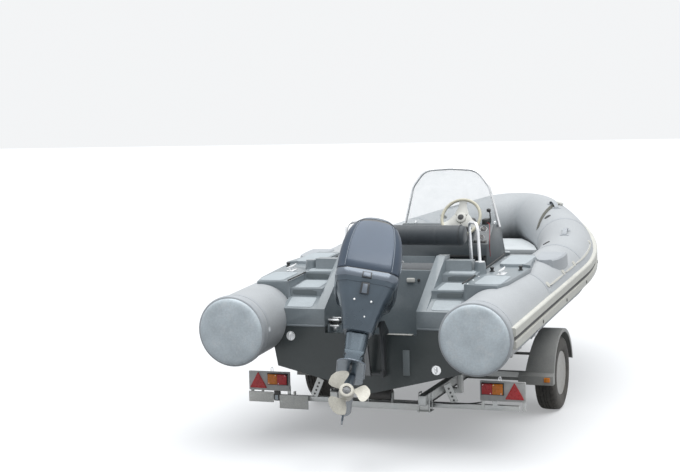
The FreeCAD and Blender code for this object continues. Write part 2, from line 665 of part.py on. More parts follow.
def stern(seat):
    """Stepped pods either side of the outboard's well, the shelves outboard of them and the well's walls."""
    low = "transom_top + lip_thickness"
    rib = prism("pod_rib", "YZ", (
        ("0", low), ("0", "pod_lip"), ("pod_slope_top", "pod_top"), ("pod_front", "pod_top"), ("pod_front", low),
    ), "pod_inner", "pod_inner + rib_width")
    flight = (
        ("0", "pod_lip"), ("step_low_y", "step_low_z - step_rise"), ("step_low_y", "step_low_z"),
        ("step_high_y", "step_high_z - step_rise"), ("step_high_y", "step_high_z"),
        ("pod_front", "step_high_z + tread_slope"),
    )
    steps = prism("pod_steps", "YZ", (("0", low),) + flight + (("pod_front", low),),
                  "pod_inner + rib_width - 1", "pod_outer")
    under = [(f"({y}) + pod_wall", f"{z} - pod_wall") for y, z in flight[:-1]]
    under.append(("pod_front - pod_wall", "step_high_z + tread_slope - pod_wall"))
    hollow = prism("pod_hollow", "YZ", (("pod_wall", low + " - 1"), *under, ("pod_front - pod_wall", low + " - 1")),
                   "pod_inner + rib_width", "pod_outer - pod_wall")
    across = ("pod_inner + rib_width - 1", "coaming_end")
    coaming = block("pod_coaming", across, ("pod_front - coaming_width", "pod_front"), ("step_high_z", "coaming_top"))
    inside = block("pod_coaming_hollow", ("pod_inner + rib_width", "coaming_end - pod_wall"),
                   ("pod_front - coaming_width + pod_wall", "pod_front - pod_wall"),
                   ("step_high_z - 3 * pod_wall", "coaming_top - pod_wall"))
    solid = cut("pod_hollowed", fused("pod_whole", [rib, steps, coaming]), fused("pod_voids", [hollow, inside]))
    side = feature("shelf_shape", shelf(seat))
    subpart(cut("pod_starboard_seated", fused("pod_and_shelf", [solid, side]), seat), "pod_starboard")
    port = mirrored("pod_port_shape", doc.getObject("pod_starboard_seated"))
    port.Label = "pod_port"
    subparts.append(port)
    strip = block("lip_strip", ("-transom_half", "transom_half"), ("-4", "transom_thickness"),
                  ("transom_top", "transom_top + lip_thickness"))
    notch = block("lip_notch", ("-well_half", "well_half"), ("-10", "transom_thickness + 10"),
                  ("transom_top - 1", "transom_top + lip_thickness + 1"))
    subpart(cut("lip_sides", cut("lip_cut", strip, notch), seat), "transom_lip")
    half = "(pod_inner - 1)"
    wall = block("bulkhead", ("-" + half, half), ("bulkhead_back", "bulkhead_back + 30"), ("floor_top", "bulkhead_top"))
    subpart(wall, "well_bulkhead")
    well_low = "transom_top - well_drop - well_depth"
    sill = block("well_sill", ("-" + half, half), ("transom_thickness", "bulkhead_back"), (well_low + " - pod_wall", well_low))
    sides = [block(f"well_side_{i}", (x, f"{x} + pod_wall"), ("transom_thickness", "bulkhead_back"),
                   (well_low, "transom_top + lip_thickness - 0.3"))
             for i, x in enumerate(("-" + half, half + " - pod_wall"))]
    subpart(fused("well_tray", [sill] + sides), "well_floor")


def bench(seat):
    box = block("bench_box", ("-bench_half", "bench_half"), ("pod_front + 1", "bench_front"), ("floor_top", "bench_top"))
    room = block("bench_room", ("-(bench_half - bench_wall)", "bench_half - bench_wall"),
                 ("pod_front + 1 + bench_wall", "bench_front - bench_wall"), ("floor_top - 1", "bench_top - bench_wall"))
    subpart(cut("bench_fitted", cut("bench_shell", box, room), seat), "aft_bench")
    half = "(bolster_length / 2 - cushion_margin)"
    pad = block("cushion_block", ("bolster_x - " + half, "bolster_x + " + half), ("pod_front + 20", "bench_front + 5"),
                ("bench_top", "bench_top + cushion_thickness"))
    subpart(pad, "bench_cushion")
    roll = rod("bolster_roll", "x", "bolster_diameter / 2", "bolster_length", "bolster_x - bolster_length / 2",
               "bolster_y", "bolster_z")
    subpart(roll, "bolster")
    end = s.bolster_length / 2 + s.rail_diameter / 2 + s.bond_gap
    # Side, aft foot off the centre line and its height: a boss to starboard, the well's rib to port
    frames = []
    for side, foot_x, foot_z in ((1, s.rail_foot_x, s.foot_top), (-1, s.pod_inner + s.rib_width / 2, s.pod_top)):
        frames.append(backrest_frame(side * foot_x, foot_z, s.bolster_x + side * end, -side * s.rail_lean))
    subpart(feature("bolster_frame_shape", Part.makeCompound(frames)), "bolster_frame")


def backrest_frame(foot_x, foot_z, end_x, lean):
    """Bent tube from an aft foot over the roll's end to a fore foot on the bench, each on a round plate."""
    feet = (vec(foot_x, s.rail_foot_aft, foot_z), vec(end_x, s.rail_foot_fore, s.bench_top))
    corners = [vec(foot_x + lean, s.rail_foot_aft, s.rail_top), vec(end_x, s.rail_shoulder, s.rail_top)]
    frame = tube_along([feet[0]] + corners + [feet[1]], s.rail_diameter / 2, s.rail_bend)
    side = s.foot_diameter
    for foot in feet:
        frame = frame.fuse(Part.makeCylinder(s.foot_diameter / 2, s.foot_thickness, foot))
        frame = frame.cut(Part.makeBox(side, side, side, foot - vec(side / 2, side / 2, side)))
    return frame.removeSplitter()


def console():
    body = prism("console_block", "YZ", (
        ("console_back", "floor_top"), ("console_back", "console_waist"),
        ("console_back + console_dash_run", "console_top"), ("screen_y + 90", "console_top - 20"),
        ("console_front", "console_waist - 260"), ("console_front", "floor_top"),
    ), "-console_half", "console_half")
    room = prism("console_room", "YZ", (
        ("console_back + locker_depth + console_wall", "floor_top - 1"),
        ("console_back + locker_depth + console_wall", "console_waist + 100"),
        ("screen_y + 60", "console_waist + 120"),
        ("console_front - console_wall", "console_waist - 290"), ("console_front - console_wall", "floor_top - 1"),
    ), "-(console_half - console_wall)", "console_half - console_wall")
    opening = block("console_opening", ("locker_left", "locker_right"), ("console_back - 1", "console_back + locker_depth"),
                    ("locker_low", "locker_high"))
    subpart(cut("console_carved", body, fused("console_voids", [room, opening])), "console")
    # Screen hoop: leaning sides, round shoulders and a shallow crown, with the clear screen inside it
    y = s.screen_y
    shoulder = s.screen_top - s.crown_drop
    side = [(s.screen_half, s.screen_foot), (s.elbow_half, s.elbow_height), (s.screen_shoulder, shoulder)]
    line = [vec(x, y, z) for x, z in side] + [vec(0, y, s.screen_top)] + [vec(-x, y, z) for x, z in reversed(side)]
    hoop = tube_along(line, s.rail_diameter / 2, s.screen_bend)
    edges = bent_path(line, s.screen_bend) + [Part.LineSegment(line[-1], line[0]).toShape()]
    pane = Part.Face(Part.Wire(edges)).OuterWire.makeOffset2D(-s.rail_diameter / 2 - s.bond_gap)
    screen = Part.Face(pane).extrude(Y * s.screen_thickness)
    solid = console_outer()
    subpart(feature("screen_hoop_shape", hoop.cut(solid)), "screen_hoop")
    subpart(feature("windscreen_shape", screen.cut(solid)), "windscreen")


def helm_placement():
    return FreeCAD.Placement(
        vec(s.helm_x, s.helm_y, s.helm_z) + PLACE,
        FreeCAD.Rotation(X, 90 - s.helm_rake_deg),
    )


def helm():
    """Steering wheel about its own axis, which points at the helmsman along local +Z."""
    rim = Part.makeTorus(s.helm_diameter / 2, s.helm_rim / 2)
    hub = Part.makeCylinder(s.helm_hub / 2, 46, vec(0, 0, -34))
    spokes = []
    for angle in (90, 210, 330):
        spoke = Part.makeBox(s.helm_diameter / 2, 44, 12, vec(0, -22, -14))
        spoke.rotate(vec(0, 0, 0), Z, angle)
        spokes.append(spoke)
    shaft = Part.makeCylinder(12, 90, vec(0, 0, -120))
    wheel = feature("helm_wheel_shape", hub.fuse([rim, shaft] + spokes).removeSplitter())
    wheel.Label = "helm_wheel"
    wheel.Placement = helm_placement()
    subparts.append(wheel)
    boss = Part.makeCylinder(s.helm_pod, 260, vec(0, 0, -34 - s.running_gap - 260))
    boss = boss.cut(Part.makeCylinder(12 + s.pin_play, 100, vec(0, 0, -125)))
    boss.Placement = FreeCAD.Placement(vec(s.helm_x, s.helm_y, s.helm_z), helm_placement().Rotation)
    subpart(feature("helm_pod_shape", boss.cut(console_outer())), "helm_pod")
    box = block("lever_box", ("lever_x - 30", "lever_x + 30"), ("console_back + console_dash_run - 10", "console_back + console_dash_run + 100"),
                ("console_top", "console_top + 50"))
    handle = block("lever_handle", ("lever_x - 9", "lever_x + 9"), ("console_back + console_dash_run + 20", "console_back + console_dash_run + 45"),
                   ("console_top + 50", "console_top + 160"))
    subpart(fused("lever_whole", [box, handle]), "engine_control")


def console_outer():
    """Console's outer form without its voids, in boat axes."""
    wire = polygon([
        vec(-s.console_half, s.console_back, s.floor_top), vec(-s.console_half, s.console_back, s.console_waist),
        vec(-s.console_half, s.console_back + s.console_dash_run, s.console_top),
        vec(-s.console_half, s.screen_y + 90, s.console_top - 20),
        vec(-s.console_half, s.console_front, s.console_waist - 260), vec(-s.console_half, s.console_front, s.floor_top),
    ])
    return Part.Face(wire).extrude(X * 2 * s.console_half)


def inside_tubes(gap, back, front):
    """Outline between the tubes, seen from above, from a back line to a front one, with a gap to the tubes."""
    reach = s.tube_diameter / 2 + gap
    side = []
    steps = 24
    for i in range(steps + 1):
        angle = path.turn * i / steps
        outward = path.inward * -math.cos(angle) + path.ahead * math.sin(angle)
        point = path.centre + outward * s.tube_curve_radius
        level = vec(outward.x, outward.y, 0).normalize()
        side.append(vec(point.x, point.y, 0) - level * reach)

    def at(y):
        for first, last in zip(side, side[1:]):
            if first.y <= y <= last.y:
                share = (y - first.y) / (last.y - first.y)
                return first + (last - first) * share
        raise ValueError(f"no tube beside {y}")

    corners = [at(back + (front - back) * share) for share in (0, 0.35, 0.7, 1)]
    return corners + [vec(-point.x, point.y, 0) for point in reversed(corners)]


def bow(seat):
    """Locker between the tubes and its lid, hinged along the aft edge."""
    height = s.bowbox_top - s.floor_top
    outer = Part.Face(polygon(inside_tubes(s.locker_gap, s.bowbox_back, s.bowbox_front)))
    inner = Part.Face(outer.OuterWire.makeOffset2D(-s.locker_wall))
    box = outer.extrude(Z * height).cut(inner.extrude(Z * height))
    box.translate(Z * s.floor_top)
    box = box.common(hull_solid(s.hull_wall, s.transom_thickness, s.locker_rise)).cut(seat.Shape)
    subpart(feature("bow_locker_shape", sorted(box.Solids, key=lambda item: item.Volume)[-1]), "bow_locker")
    lid = Part.Face(polygon(inside_tubes(s.lid_gap, s.bowbox_back, s.bowbox_front + s.lid_overhang)))
    lid = lid.extrude(Z * s.lid_thickness)
    lid.translate(Z * (s.bowbox_top + s.bond_gap))
    # Two hinge barrels along the aft edge
    hinge = vec(0, s.bowbox_back - s.hinge_radius, s.bowbox_top + s.hinge_rise)
    barrels = [Part.makeCylinder(s.hinge_radius, s.hinge_length, hinge + X * x, X)
               for x in (-s.hinge_spread - s.hinge_length, s.hinge_spread)]
    leaves = [Part.makeBox(s.hinge_length, s.hinge_radius + 1, 2 * s.hinge_radius,
                           hinge + vec(x, 0, -s.hinge_radius)) for x in (-s.hinge_spread - s.hinge_length, s.hinge_spread)]
    subpart(feature("bow_lid_shape", lid.fuse(barrels + leaves).removeSplitter()), "bow_lid")


def lashing_eye(place, turn):
    """Bar bent to a half ring on a round plate, standing off a face that looks along local +Z."""
    ring = Part.makeTorus(s.eye_reach, s.eye_bar, vec(0, 0, 0), X)
    ring = ring.common(Part.makeBox(8 * s.eye_bar, 4 * s.eye_reach, 2 * s.eye_reach, vec(-4 * s.eye_bar, -2 * s.eye_reach, 0)))
    eye = ring.fuse(Part.makeCylinder(s.eye_reach + 2 * s.eye_bar, s.eye_bar / 2, vec(0, 0, s.bond_gap)))
    eye.Placement = FreeCAD.Placement(place, turn)
    return eye


def fittings():
    """Lashing eyes on the transom, the pod and the stem, and a cleat on each shelf."""
    aft = FreeCAD.Rotation(Z, -Y)
    eyes = [lashing_eye(vec(*place), aft) for place in ((-655, 0, 425), (626, 0, 590), (519, 0, 200))]
    bow_eye = lashing_eye(vec(0, STATIONS[-1][0], STATIONS[-1][1] + s.eye_rise), FreeCAD.Rotation(Z, Y))
    horn = Part.makeCylinder(8, s.cleat_length, vec(0, -s.cleat_length / 2, 34), Y)
    foot = Part.makeBox(24, s.cleat_length * 0.45, 34, vec(-12, -s.cleat_length * 0.225, s.bond_gap))
    cleat = horn.fuse(foot)
    rise = (s.cleat_y - s.shelf_aft) * math.tan(math.radians(s.tube_sheer_deg))
    place = vec(s.cleat_x, s.cleat_y, s.shelf_top + rise)
    cleat.Placement = FreeCAD.Placement(place, FreeCAD.Rotation(X, s.tube_sheer_deg))
    shapes = eyes + [bow_eye, cleat, cleat.mirror(vec(0, 0, 0), X)]
    subpart(feature("fittings_shape", Part.makeCompound(shapes)), "fittings")


def wheel_at(body, node, side, y, z):
    body.Label = node
    bind_base(body, f"{side} * track / 2", f"{y} + {PLACE_Y}", f"{z} + {PLACE_Z}")
    subparts.append(body)


def trailer():
    axle_z = "tyre_diameter / 2 - keel_height"
    for side, word in ((1, "right"), (-1, "left")):
        tyre = turned(f"tyre_{word}_body", "XY", (
            ("-tyre_width / 2 + 18", "rim_diameter / 2"), ("-tyre_width / 2", "rim_diameter / 2 + 45"),
            ("-tyre_width / 2 + 8", "tyre_diameter / 2 - 22"), ("-tyre_width / 2 + 30", "tyre_diameter / 2"),
            ("tyre_width / 2 - 30", "tyre_diameter / 2"), ("tyre_width / 2 - 8", "tyre_diameter / 2 - 22"),
            ("tyre_width / 2", "rim_diameter / 2 + 45"), ("tyre_width / 2 - 18", "rim_diameter / 2"),
        ), "H_Axis")
        wheel_at(tyre, f"tyre_{word}", side, "axle_y", axle_z)
        rim = turned(f"rim_{word}_body", "XY", (
            ("-tyre_width / 2 + 18", "rim_diameter / 2 - 14"), ("-tyre_width / 2 + 18", "rim_diameter / 2"),
            ("tyre_width / 2 - 18", "rim_diameter / 2"), ("tyre_width / 2 - 18", "rim_diameter / 2 - 14"),
            ("tyre_width / 2 - 50", "rim_diameter / 2 - 26"), ("tyre_width / 2 - 36", "0 + 60"),
            ("tyre_width / 2 - 36", "stub_radius + pin_play"), ("0 - 25", "stub_radius + pin_play"), ("0 - 25", "0 + 48"),
            ("tyre_width / 2 - 50", "0 + 60"), ("tyre_width / 2 - 62", "rim_diameter / 2 - 26"), ("0", "rim_diameter / 2 - 14"),
        ), "H_Axis")
        wheel_at(rim, f"rim_{word}", side, "axle_y", axle_z)
        if side == -1:
            for item in (tyre, rim):
                item.Placement = FreeCAD.Placement(item.Placement.Base, FreeCAD.Rotation(Z, 180))


def chassis():
    top = "-beam_top"
    low = "-beam_top - beam_depth"
    straight = block("beam_run", ("beam_half - beam_width / 2", "beam_half + beam_width / 2"), ("beam_back", "beam_bend"), (low, top))
    closing = prism("beam_close", "XY", (
        ("beam_half - beam_width / 2", "beam_bend"), ("beam_half + beam_width / 2", "beam_bend"),
        ("drawbar_width / 2 + beam_width", "beam_front"), ("drawbar_width / 2 + 0.5", "beam_front"),
    ), low, top)
    subpart(both_sides("side_beams_pair", fused("side_beam", [straight, closing])), "side_beams")
    bars = []
    for i, y in enumerate(("beam_back + 60", "beam_bend - 300")):
        beam = block(f"cross_{i}", ("-beam_half - beam_width / 2", "beam_half + beam_width / 2"),
                     (y, f"{y} + beam_width"), (f"{low} - cross_depth", low))
        cheeks = [block(f"roller_cheek_{i}_{k}", (x, f"{x} + 6"), (f"{y} + 5", f"{y} + beam_width - 5"),
                        (f"{low} - 5", "-roller_diameter / 2 + 15"))
                  for k, x in enumerate(("roller_length / 2 + 4", "-roller_length / 2 - 10"))]
        spindles = [rod(f"spindle_{i}_{k}", "x", "8", "6", x, f"{y} + beam_width / 2", "-roller_diameter / 2 - 0.3")
                    for k, x in enumerate(("roller_length / 2", "-roller_length / 2 - 6"))]
        bars.append(fused(f"cross_whole_{i}", [beam] + cheeks + spindles))
    subpart(grouped("cross_beams_group", bars), "cross_beams")
    bar = block("drawbar_box", ("-drawbar_width / 2", "drawbar_width / 2"), ("drawbar_back", "drawbar_front"), (low, f"{low} + drawbar_width"))
    subpart(bar, "drawbar")
    axle_z = "tyre_diameter / 2 - keel_height"
    inner = "(track / 2 - tyre_width / 2 - 30)"
    beside = ("axle_y - axle_tube / 2", "axle_y + axle_tube / 2")
    tube = block("axle_tube_box", ("-" + inner, inner), beside, (f"{low} - axle_tube", low))
    arm = block("axle_arm", (inner + " - arm_width", inner), beside, (f"{low} - axle_tube", axle_z + " + stub_radius"))
    stub = rod("axle_stub", "x", "stub_radius", "tyre_width / 2 + 30 + stub_reach + 5", inner + " - 5", "axle_y", axle_z)
    end = fused("axle_end", [arm, stub])
    subpart(fused("axle_whole", [tube, end, mirrored("axle_end_port", end)]), "axle")


def guards():
    radius = s.tyre_diameter / 2 + s.guard_gap
    axle = vec(s.track / 2, s.axle_y, s.tyre_diameter / 2 - s.keel_height)
    width = s.guard_inner + s.guard_outer
    low = vec(axle.x - s.guard_inner, axle.y, axle.z)
    top = axle.z + radius + s.guard_skin
    ring = Part.makeCylinder(radius + s.guard_skin, width, low, X).cut(Part.makeCylinder(radius, width, low, X))
    lip = Part.makeCylinder(radius + s.guard_skin, s.guard_skin, low + X * (width - s.guard_skin), X)
    lip = lip.cut(Part.makeCylinder(radius - s.guard_lip, 2 * width, low, X))
    back_half = Part.makeBox(width, 2 * radius, 2 * radius, vec(low.x, axle.y - 2 * radius, axle.z - s.guard_low))
    front_half = Part.makeBox(width, 2 * radius, 2 * radius, vec(low.x, axle.y, axle.z + s.guard_front))
    # The inner edge leans outboard towards the top
    lean = Part.Face(polygon([
        vec(low.x - 1, axle.y, axle.z), vec(low.x - 1, axle.y, top + 1), vec(low.x + s.guard_taper, axle.y, top + 1),
    ])).extrude(Y * 4 * radius)
    lean.translate(Y * -2 * radius)
    arch = ring.fuse(lip).common(back_half.fuse(front_half)).cut(lean)
    # The rear foot flares aft and inboard
    back = axle.y - radius - s.guard_skin
    base = axle.z - s.guard_low
    foot = Part.Face(polygon([
        vec(low.x - 40, back - 45, base), vec(low.x - 40, back - 38, base + s.guard_foot * 0.75),
        vec(low.x - 40, back + 2, base + s.guard_foot), vec(low.x - 40, back + 10, base),
    ])).extrude(X * (width + 40))
    foot = foot.cut(Part.makeCylinder(radius + 1, 2 * width, low - X * width / 2, X))
    # Stays from the side beam out to the arch: one low behind the wheel, one high in front of it
    root = s.beam_half + s.beam_width / 2
    stays = []
    for toward, height in ((-1, -s.beam_top - s.beam_depth), (1, axle.z + s.guard_front + 10)):
        away = math.sqrt(radius**2 - (height + s.stay_depth / 2 - axle.z)**2)
        start = axle.y + toward * (away - 3) - (s.stay_width if toward < 0 else 0)
        stays.append(Part.makeBox(low.x + 60 - root, s.stay_width, s.stay_depth, vec(root, start, height)))
    whole = arch.fuse([foot] + stays).removeSplitter()
    subpart(both_sides("mudguards_pair", feature("mudguard_shape", whole)), "mudguards")


def support():
    """Bunks and keel rollers that the hull sits on, the winch post, its winch and strap, and the coupling."""
    slope = math.atan2(STATIONS[0][3], STATIONS[0][2])
    contact = s.bunk_x * math.tan(slope)
    bunk = Part.makeBox(s.bunk_width, s.bunk_front - s.bunk_back, s.bunk_depth, vec(-s.bunk_width / 2, 0, -s.bunk_depth - s.bond_gap))
    bunk.rotate(vec(0, 0, 0), Y, -math.degrees(slope))
    bunk.translate(vec(s.bunk_x, s.bunk_back, contact))
    subpart(both_sides("bunks_pair", feature("bunk_shape", bunk)), "bunks")
    stands = []
    under = -s.beam_top - s.beam_depth
    for y in (s.bunk_back + 180, s.bunk_front - 300):
        arm = Part.makeBox(s.bunk_x + 20 - s.beam_half - s.beam_width / 2, 50, 40, vec(s.beam_half + s.beam_width / 2, y, under + 10))
        post = Part.makeBox(40, 50, 190, vec(s.bunk_x - 20, y, under + 10))
        stands.append(arm.fuse(post).cut(bunk).removeSplitter())
    stand_group = feature("bunk_stand_shapes", Part.makeCompound(stands))
    subpart(both_sides("bunk_stands_pair", stand_group), "bunk_brackets")
    low = "-beam_top - beam_depth"
    rollers = []
    for i, y in enumerate(("beam_back + 60 + beam_width / 2", "beam_bend - 300 + beam_width / 2")):
        rollers.append(rod(f"roller_{i}", "x", "roller_diameter / 2", "roller_length", "-roller_length / 2", y, "-roller_diameter / 2 - 0.3"))
    subpart(grouped("rollers_group", rollers), "keel_rollers")
    drawbar_top = s.drawbar_width - s.beam_top - s.beam_depth
    winch_y = path.stem.y + s.winch_gap
    half = s.winch_post / 2
    post = Part.makeBox(s.winch_post, s.winch_post, s.winch_top - drawbar_top, vec(-half, winch_y - half, drawbar_top))
    subpart(feature("winch_post_shape", post), "winch_post")
    # Two cheeks with the drum between them
    drum_at = vec(-s.winch_width / 2, winch_y - half - s.winch_depth / 2, s.winch_top - s.winch_height / 2)
    drum = Part.makeCylinder(s.winch_height * 0.3, s.winch_width, drum_at, X)
    cheeks = [Part.makeBox(5, s.winch_depth, s.winch_height, vec(x, winch_y - half - s.winch_depth, s.winch_top - s.winch_height))
              for x in (-s.winch_width / 2, s.winch_width / 2 - 5)]
    back = Part.makeBox(s.winch_width, 5, s.winch_height, vec(-s.winch_width / 2, winch_y - half - 5, s.winch_top - s.winch_height))
    subpart(feature("winch_shape", drum.fuse(cheeks + [back]).removeSplitter()), "winch")
    # The strap leaves the drum's upper side and runs straight to the eye on the stem
    middle = vec(-s.strap_width / 2, drum_at.y, drum_at.z)
    eye = vec(middle.x, STATIONS[-1][0] + s.eye_reach + s.eye_bar + 1, STATIONS[-1][1] + s.eye_rise)
    toward = middle - eye
    drum_radius = s.winch_height * 0.3 + s.bond_gap
    lean = math.asin(drum_radius / toward.Length)
    run = toward * math.cos(lean)**2 + X.cross(toward) * (math.sin(lean) * math.cos(lean))
    over = X.cross(run).normalize() * s.strap_thickness
    strap = Part.Face(polygon([eye, eye + run, eye + run + over, eye + over])).extrude(X * s.strap_width)
    subpart(feature("winch_strap_shape", strap), "winch_strap")
    head = block("coupling_box", ("-50", "50"), ("drawbar_front - 40", "front_reach"), (f"{low} + drawbar_width", f"{low} + drawbar_width + 60"))
    socket = rod("socket_rod", "z", "socket_diameter / 2", "socket_depth + 1", "0", "front_reach - socket_back",
                 f"{low} + drawbar_width - 1")
    subpart(cut("coupling_whole", head, socket), "coupling")
    tube = rod("jockey_tube_rod", "z", "30", "keel_height - jockey_diameter - 40 + 200", "-jockey_x", "jockey_y", "jockey_diameter + 60 - keel_height")
    clamp = block("jockey_clamp", ("-jockey_x", "-drawbar_width / 2"), ("jockey_y - 20", "jockey_y + 20"), (low, f"{low} + drawbar_width"))
    socket = rod("jockey_socket", "z", "18 + pin_play", "jockey_neck + 1", "-jockey_x", "jockey_y", "jockey_diameter + 59 - keel_height")
    subpart(cut("jockey_bored", fused("jockey_post_whole", [tube, clamp]), socket), "jockey_post")
    wheel = rod("jockey_wheel_rod", "x", "jockey_diameter / 2", "jockey_width", "-jockey_x - jockey_width / 2", "jockey_y - jockey_trail", "jockey_diameter / 2 - keel_height")
    bore = rod("jockey_bore", "x", "8 + pin_play", "jockey_width + 2", "-jockey_x - jockey_width / 2 - 1", "jockey_y - jockey_trail",
               "jockey_diameter / 2 - keel_height")
    subpart(cut("jockey_wheel_bored", wheel, bore), "jockey_wheel")
    bridge = block("fork_bridge", ("-jockey_x - jockey_width / 2 - 13", "-jockey_x + jockey_width / 2 + 13"), ("jockey_y - jockey_trail - 25", "jockey_y + 32"),
                   ("jockey_diameter + 10 - keel_height", "jockey_diameter + 22 - keel_height"))
    cheeks = [block(f"fork_cheek_{i}", (x, f"{x} + 6"), ("jockey_y - jockey_trail - 20", "jockey_y - jockey_trail + 20"),
                    ("jockey_diameter / 2 - 25 - keel_height", "jockey_diameter + 22 - keel_height"))
              for i, x in enumerate(("-jockey_x - jockey_width / 2 - 13", "-jockey_x + jockey_width / 2 + 7"))]
    neck = rod("fork_neck", "z", "18", "60 - 22 + jockey_neck - 5", "-jockey_x", "jockey_y", "jockey_diameter + 22 - keel_height")
    spindle = rod("fork_spindle", "x", "8", "jockey_width + 26", "-jockey_x - jockey_width / 2 - 13", "jockey_y - jockey_trail",
                  "jockey_diameter / 2 - keel_height")
    subpart(fused("fork_whole", [bridge, neck, spindle] + cheeks), "jockey_fork")


def lamps():
    """Lamp boards on their bar, each with a red lens, an amber lens and a red triangle, and two blank plates."""
    board = block("lamp_board", ("lamp_inner", "lamp_outer"), ("lamp_y", "lamp_y + lamp_thickness"), ("lamp_low", "lamp_high"))
    subpart(both_sides("lamp_boards_pair", board), "lamp_boards")
    proud = ("lamp_y - lens_depth", "lamp_y")
    upright = ("lamp_high - lens_margin - lens_size", "lamp_high - lens_margin")
    red = block("lamp_red", ("lamp_inner + lens_margin", "lamp_inner + lens_margin + lens_size"), proud, upright)
    subpart(both_sides("lamp_red_pair", red), "red_lenses")
    amber_x = "(lamp_inner + lens_margin + lens_size + 2 * bond_gap)"
    amber = block("lamp_amber", (amber_x, amber_x + " + lens_size"), proud, upright)
    subpart(both_sides("lamp_amber_pair", amber), "amber_lenses")
    triangle = prism("triangle_body", "XZ", (
        ("lamp_outer - 10 - triangle_side", "lamp_high - 5 - triangle_side * 0.87"),
        ("lamp_outer - 10", "lamp_high - 5 - triangle_side * 0.87"), ("lamp_outer - 10 - triangle_side / 2", "lamp_high - 5"),
    ), "lamp_y - triangle_depth", "lamp_y")
    subpart(both_sides("triangles_pair", triangle), "triangles")
    low = "-beam_top - beam_depth"
    front = "lamp_y + lamp_thickness"
    bar = block("lamp_bar_box", ("-lamp_outer + 60", "lamp_outer - 60"), (front, front + " + lamp_bar"),
                (f"{low} - lamp_bar - bond_gap", f"{low} - bond_gap"))
    posts = [block(f"lamp_post_{i}", (f"{x} - 20", f"{x} + 20"), (front, front + " + 8"), (f"{low} - 20", "lamp_low + 60"))
             for i, x in enumerate(("-lamp_inner - 110", "lamp_inner + 110"))]
    subpart(fused("lamp_bar_whole", [bar] + posts), "lamp_bar")
    plates = [block(f"blank_plate_{i}", (x, f"{x} + {width}"), ("lamp_y - 3", "lamp_y"), (top + f" - {height}", top))
              for i, (x, width, top, height) in enumerate((
                  ("-lamp_outer", "plate_width", "lamp_low - 8", "plate_height"),
                  ("-lamp_outer + plate_width + 50", "plate_width * 1.15", "lamp_low - 28", "plate_height * 1.3"),
              ))]
    hangers = [block(f"plate_hanger_{i}", (x, f"{x} + 16"), ("lamp_y", "lamp_y + lamp_thickness"), ("lamp_low - 60", "lamp_low"))
               for i, x in enumerate(("-lamp_outer + plate_width / 2", "-lamp_outer + plate_width + 170"))]
    subpart(fused("blank_plates_whole", plates + hangers), "blank_plates")


def engine_pose(steered):
    """Placement that tilts and steers the outboard from upright and straight to how it stands at rest."""
    tilt = FreeCAD.Rotation(X, -s.tilt_deg)
    turn = FreeCAD.Rotation(Z, s.steer_deg if steered else 0)
    axis = vec(0, s.swivel_y, 0)
    base = vec(0, s.tilt_y, s.tilt_z) + PLACE
    inner = FreeCAD.Placement(axis, turn).multiply(FreeCAD.Placement(-axis, FreeCAD.Rotation()))
    return FreeCAD.Placement(base, tilt).multiply(inner)


def engine_part(obj, node, steered=True):
    obj.Label = node
    obj.Placement = engine_pose(steered)
    subparts.append(obj)
    return obj


def ram_at_rest():
    """Foot of the tilt ram and its eye on the tilted swivel bracket, from the tilt axis in upright axes."""
    tilt = FreeCAD.Rotation(X, -s.tilt_deg)
    foot = vec(0, s.ram_foot_y, s.ram_foot_z)
    eye = tilt.multVec(vec(0, s.ram_eye_y, s.ram_eye_z))
    return foot, eye


def fixed_on_transom(obj, node):
    obj.Label = node
    obj.Placement = FreeCAD.Placement(vec(0, s.tilt_y, s.tilt_z) + PLACE, FreeCAD.Rotation())
    subparts.append(obj)


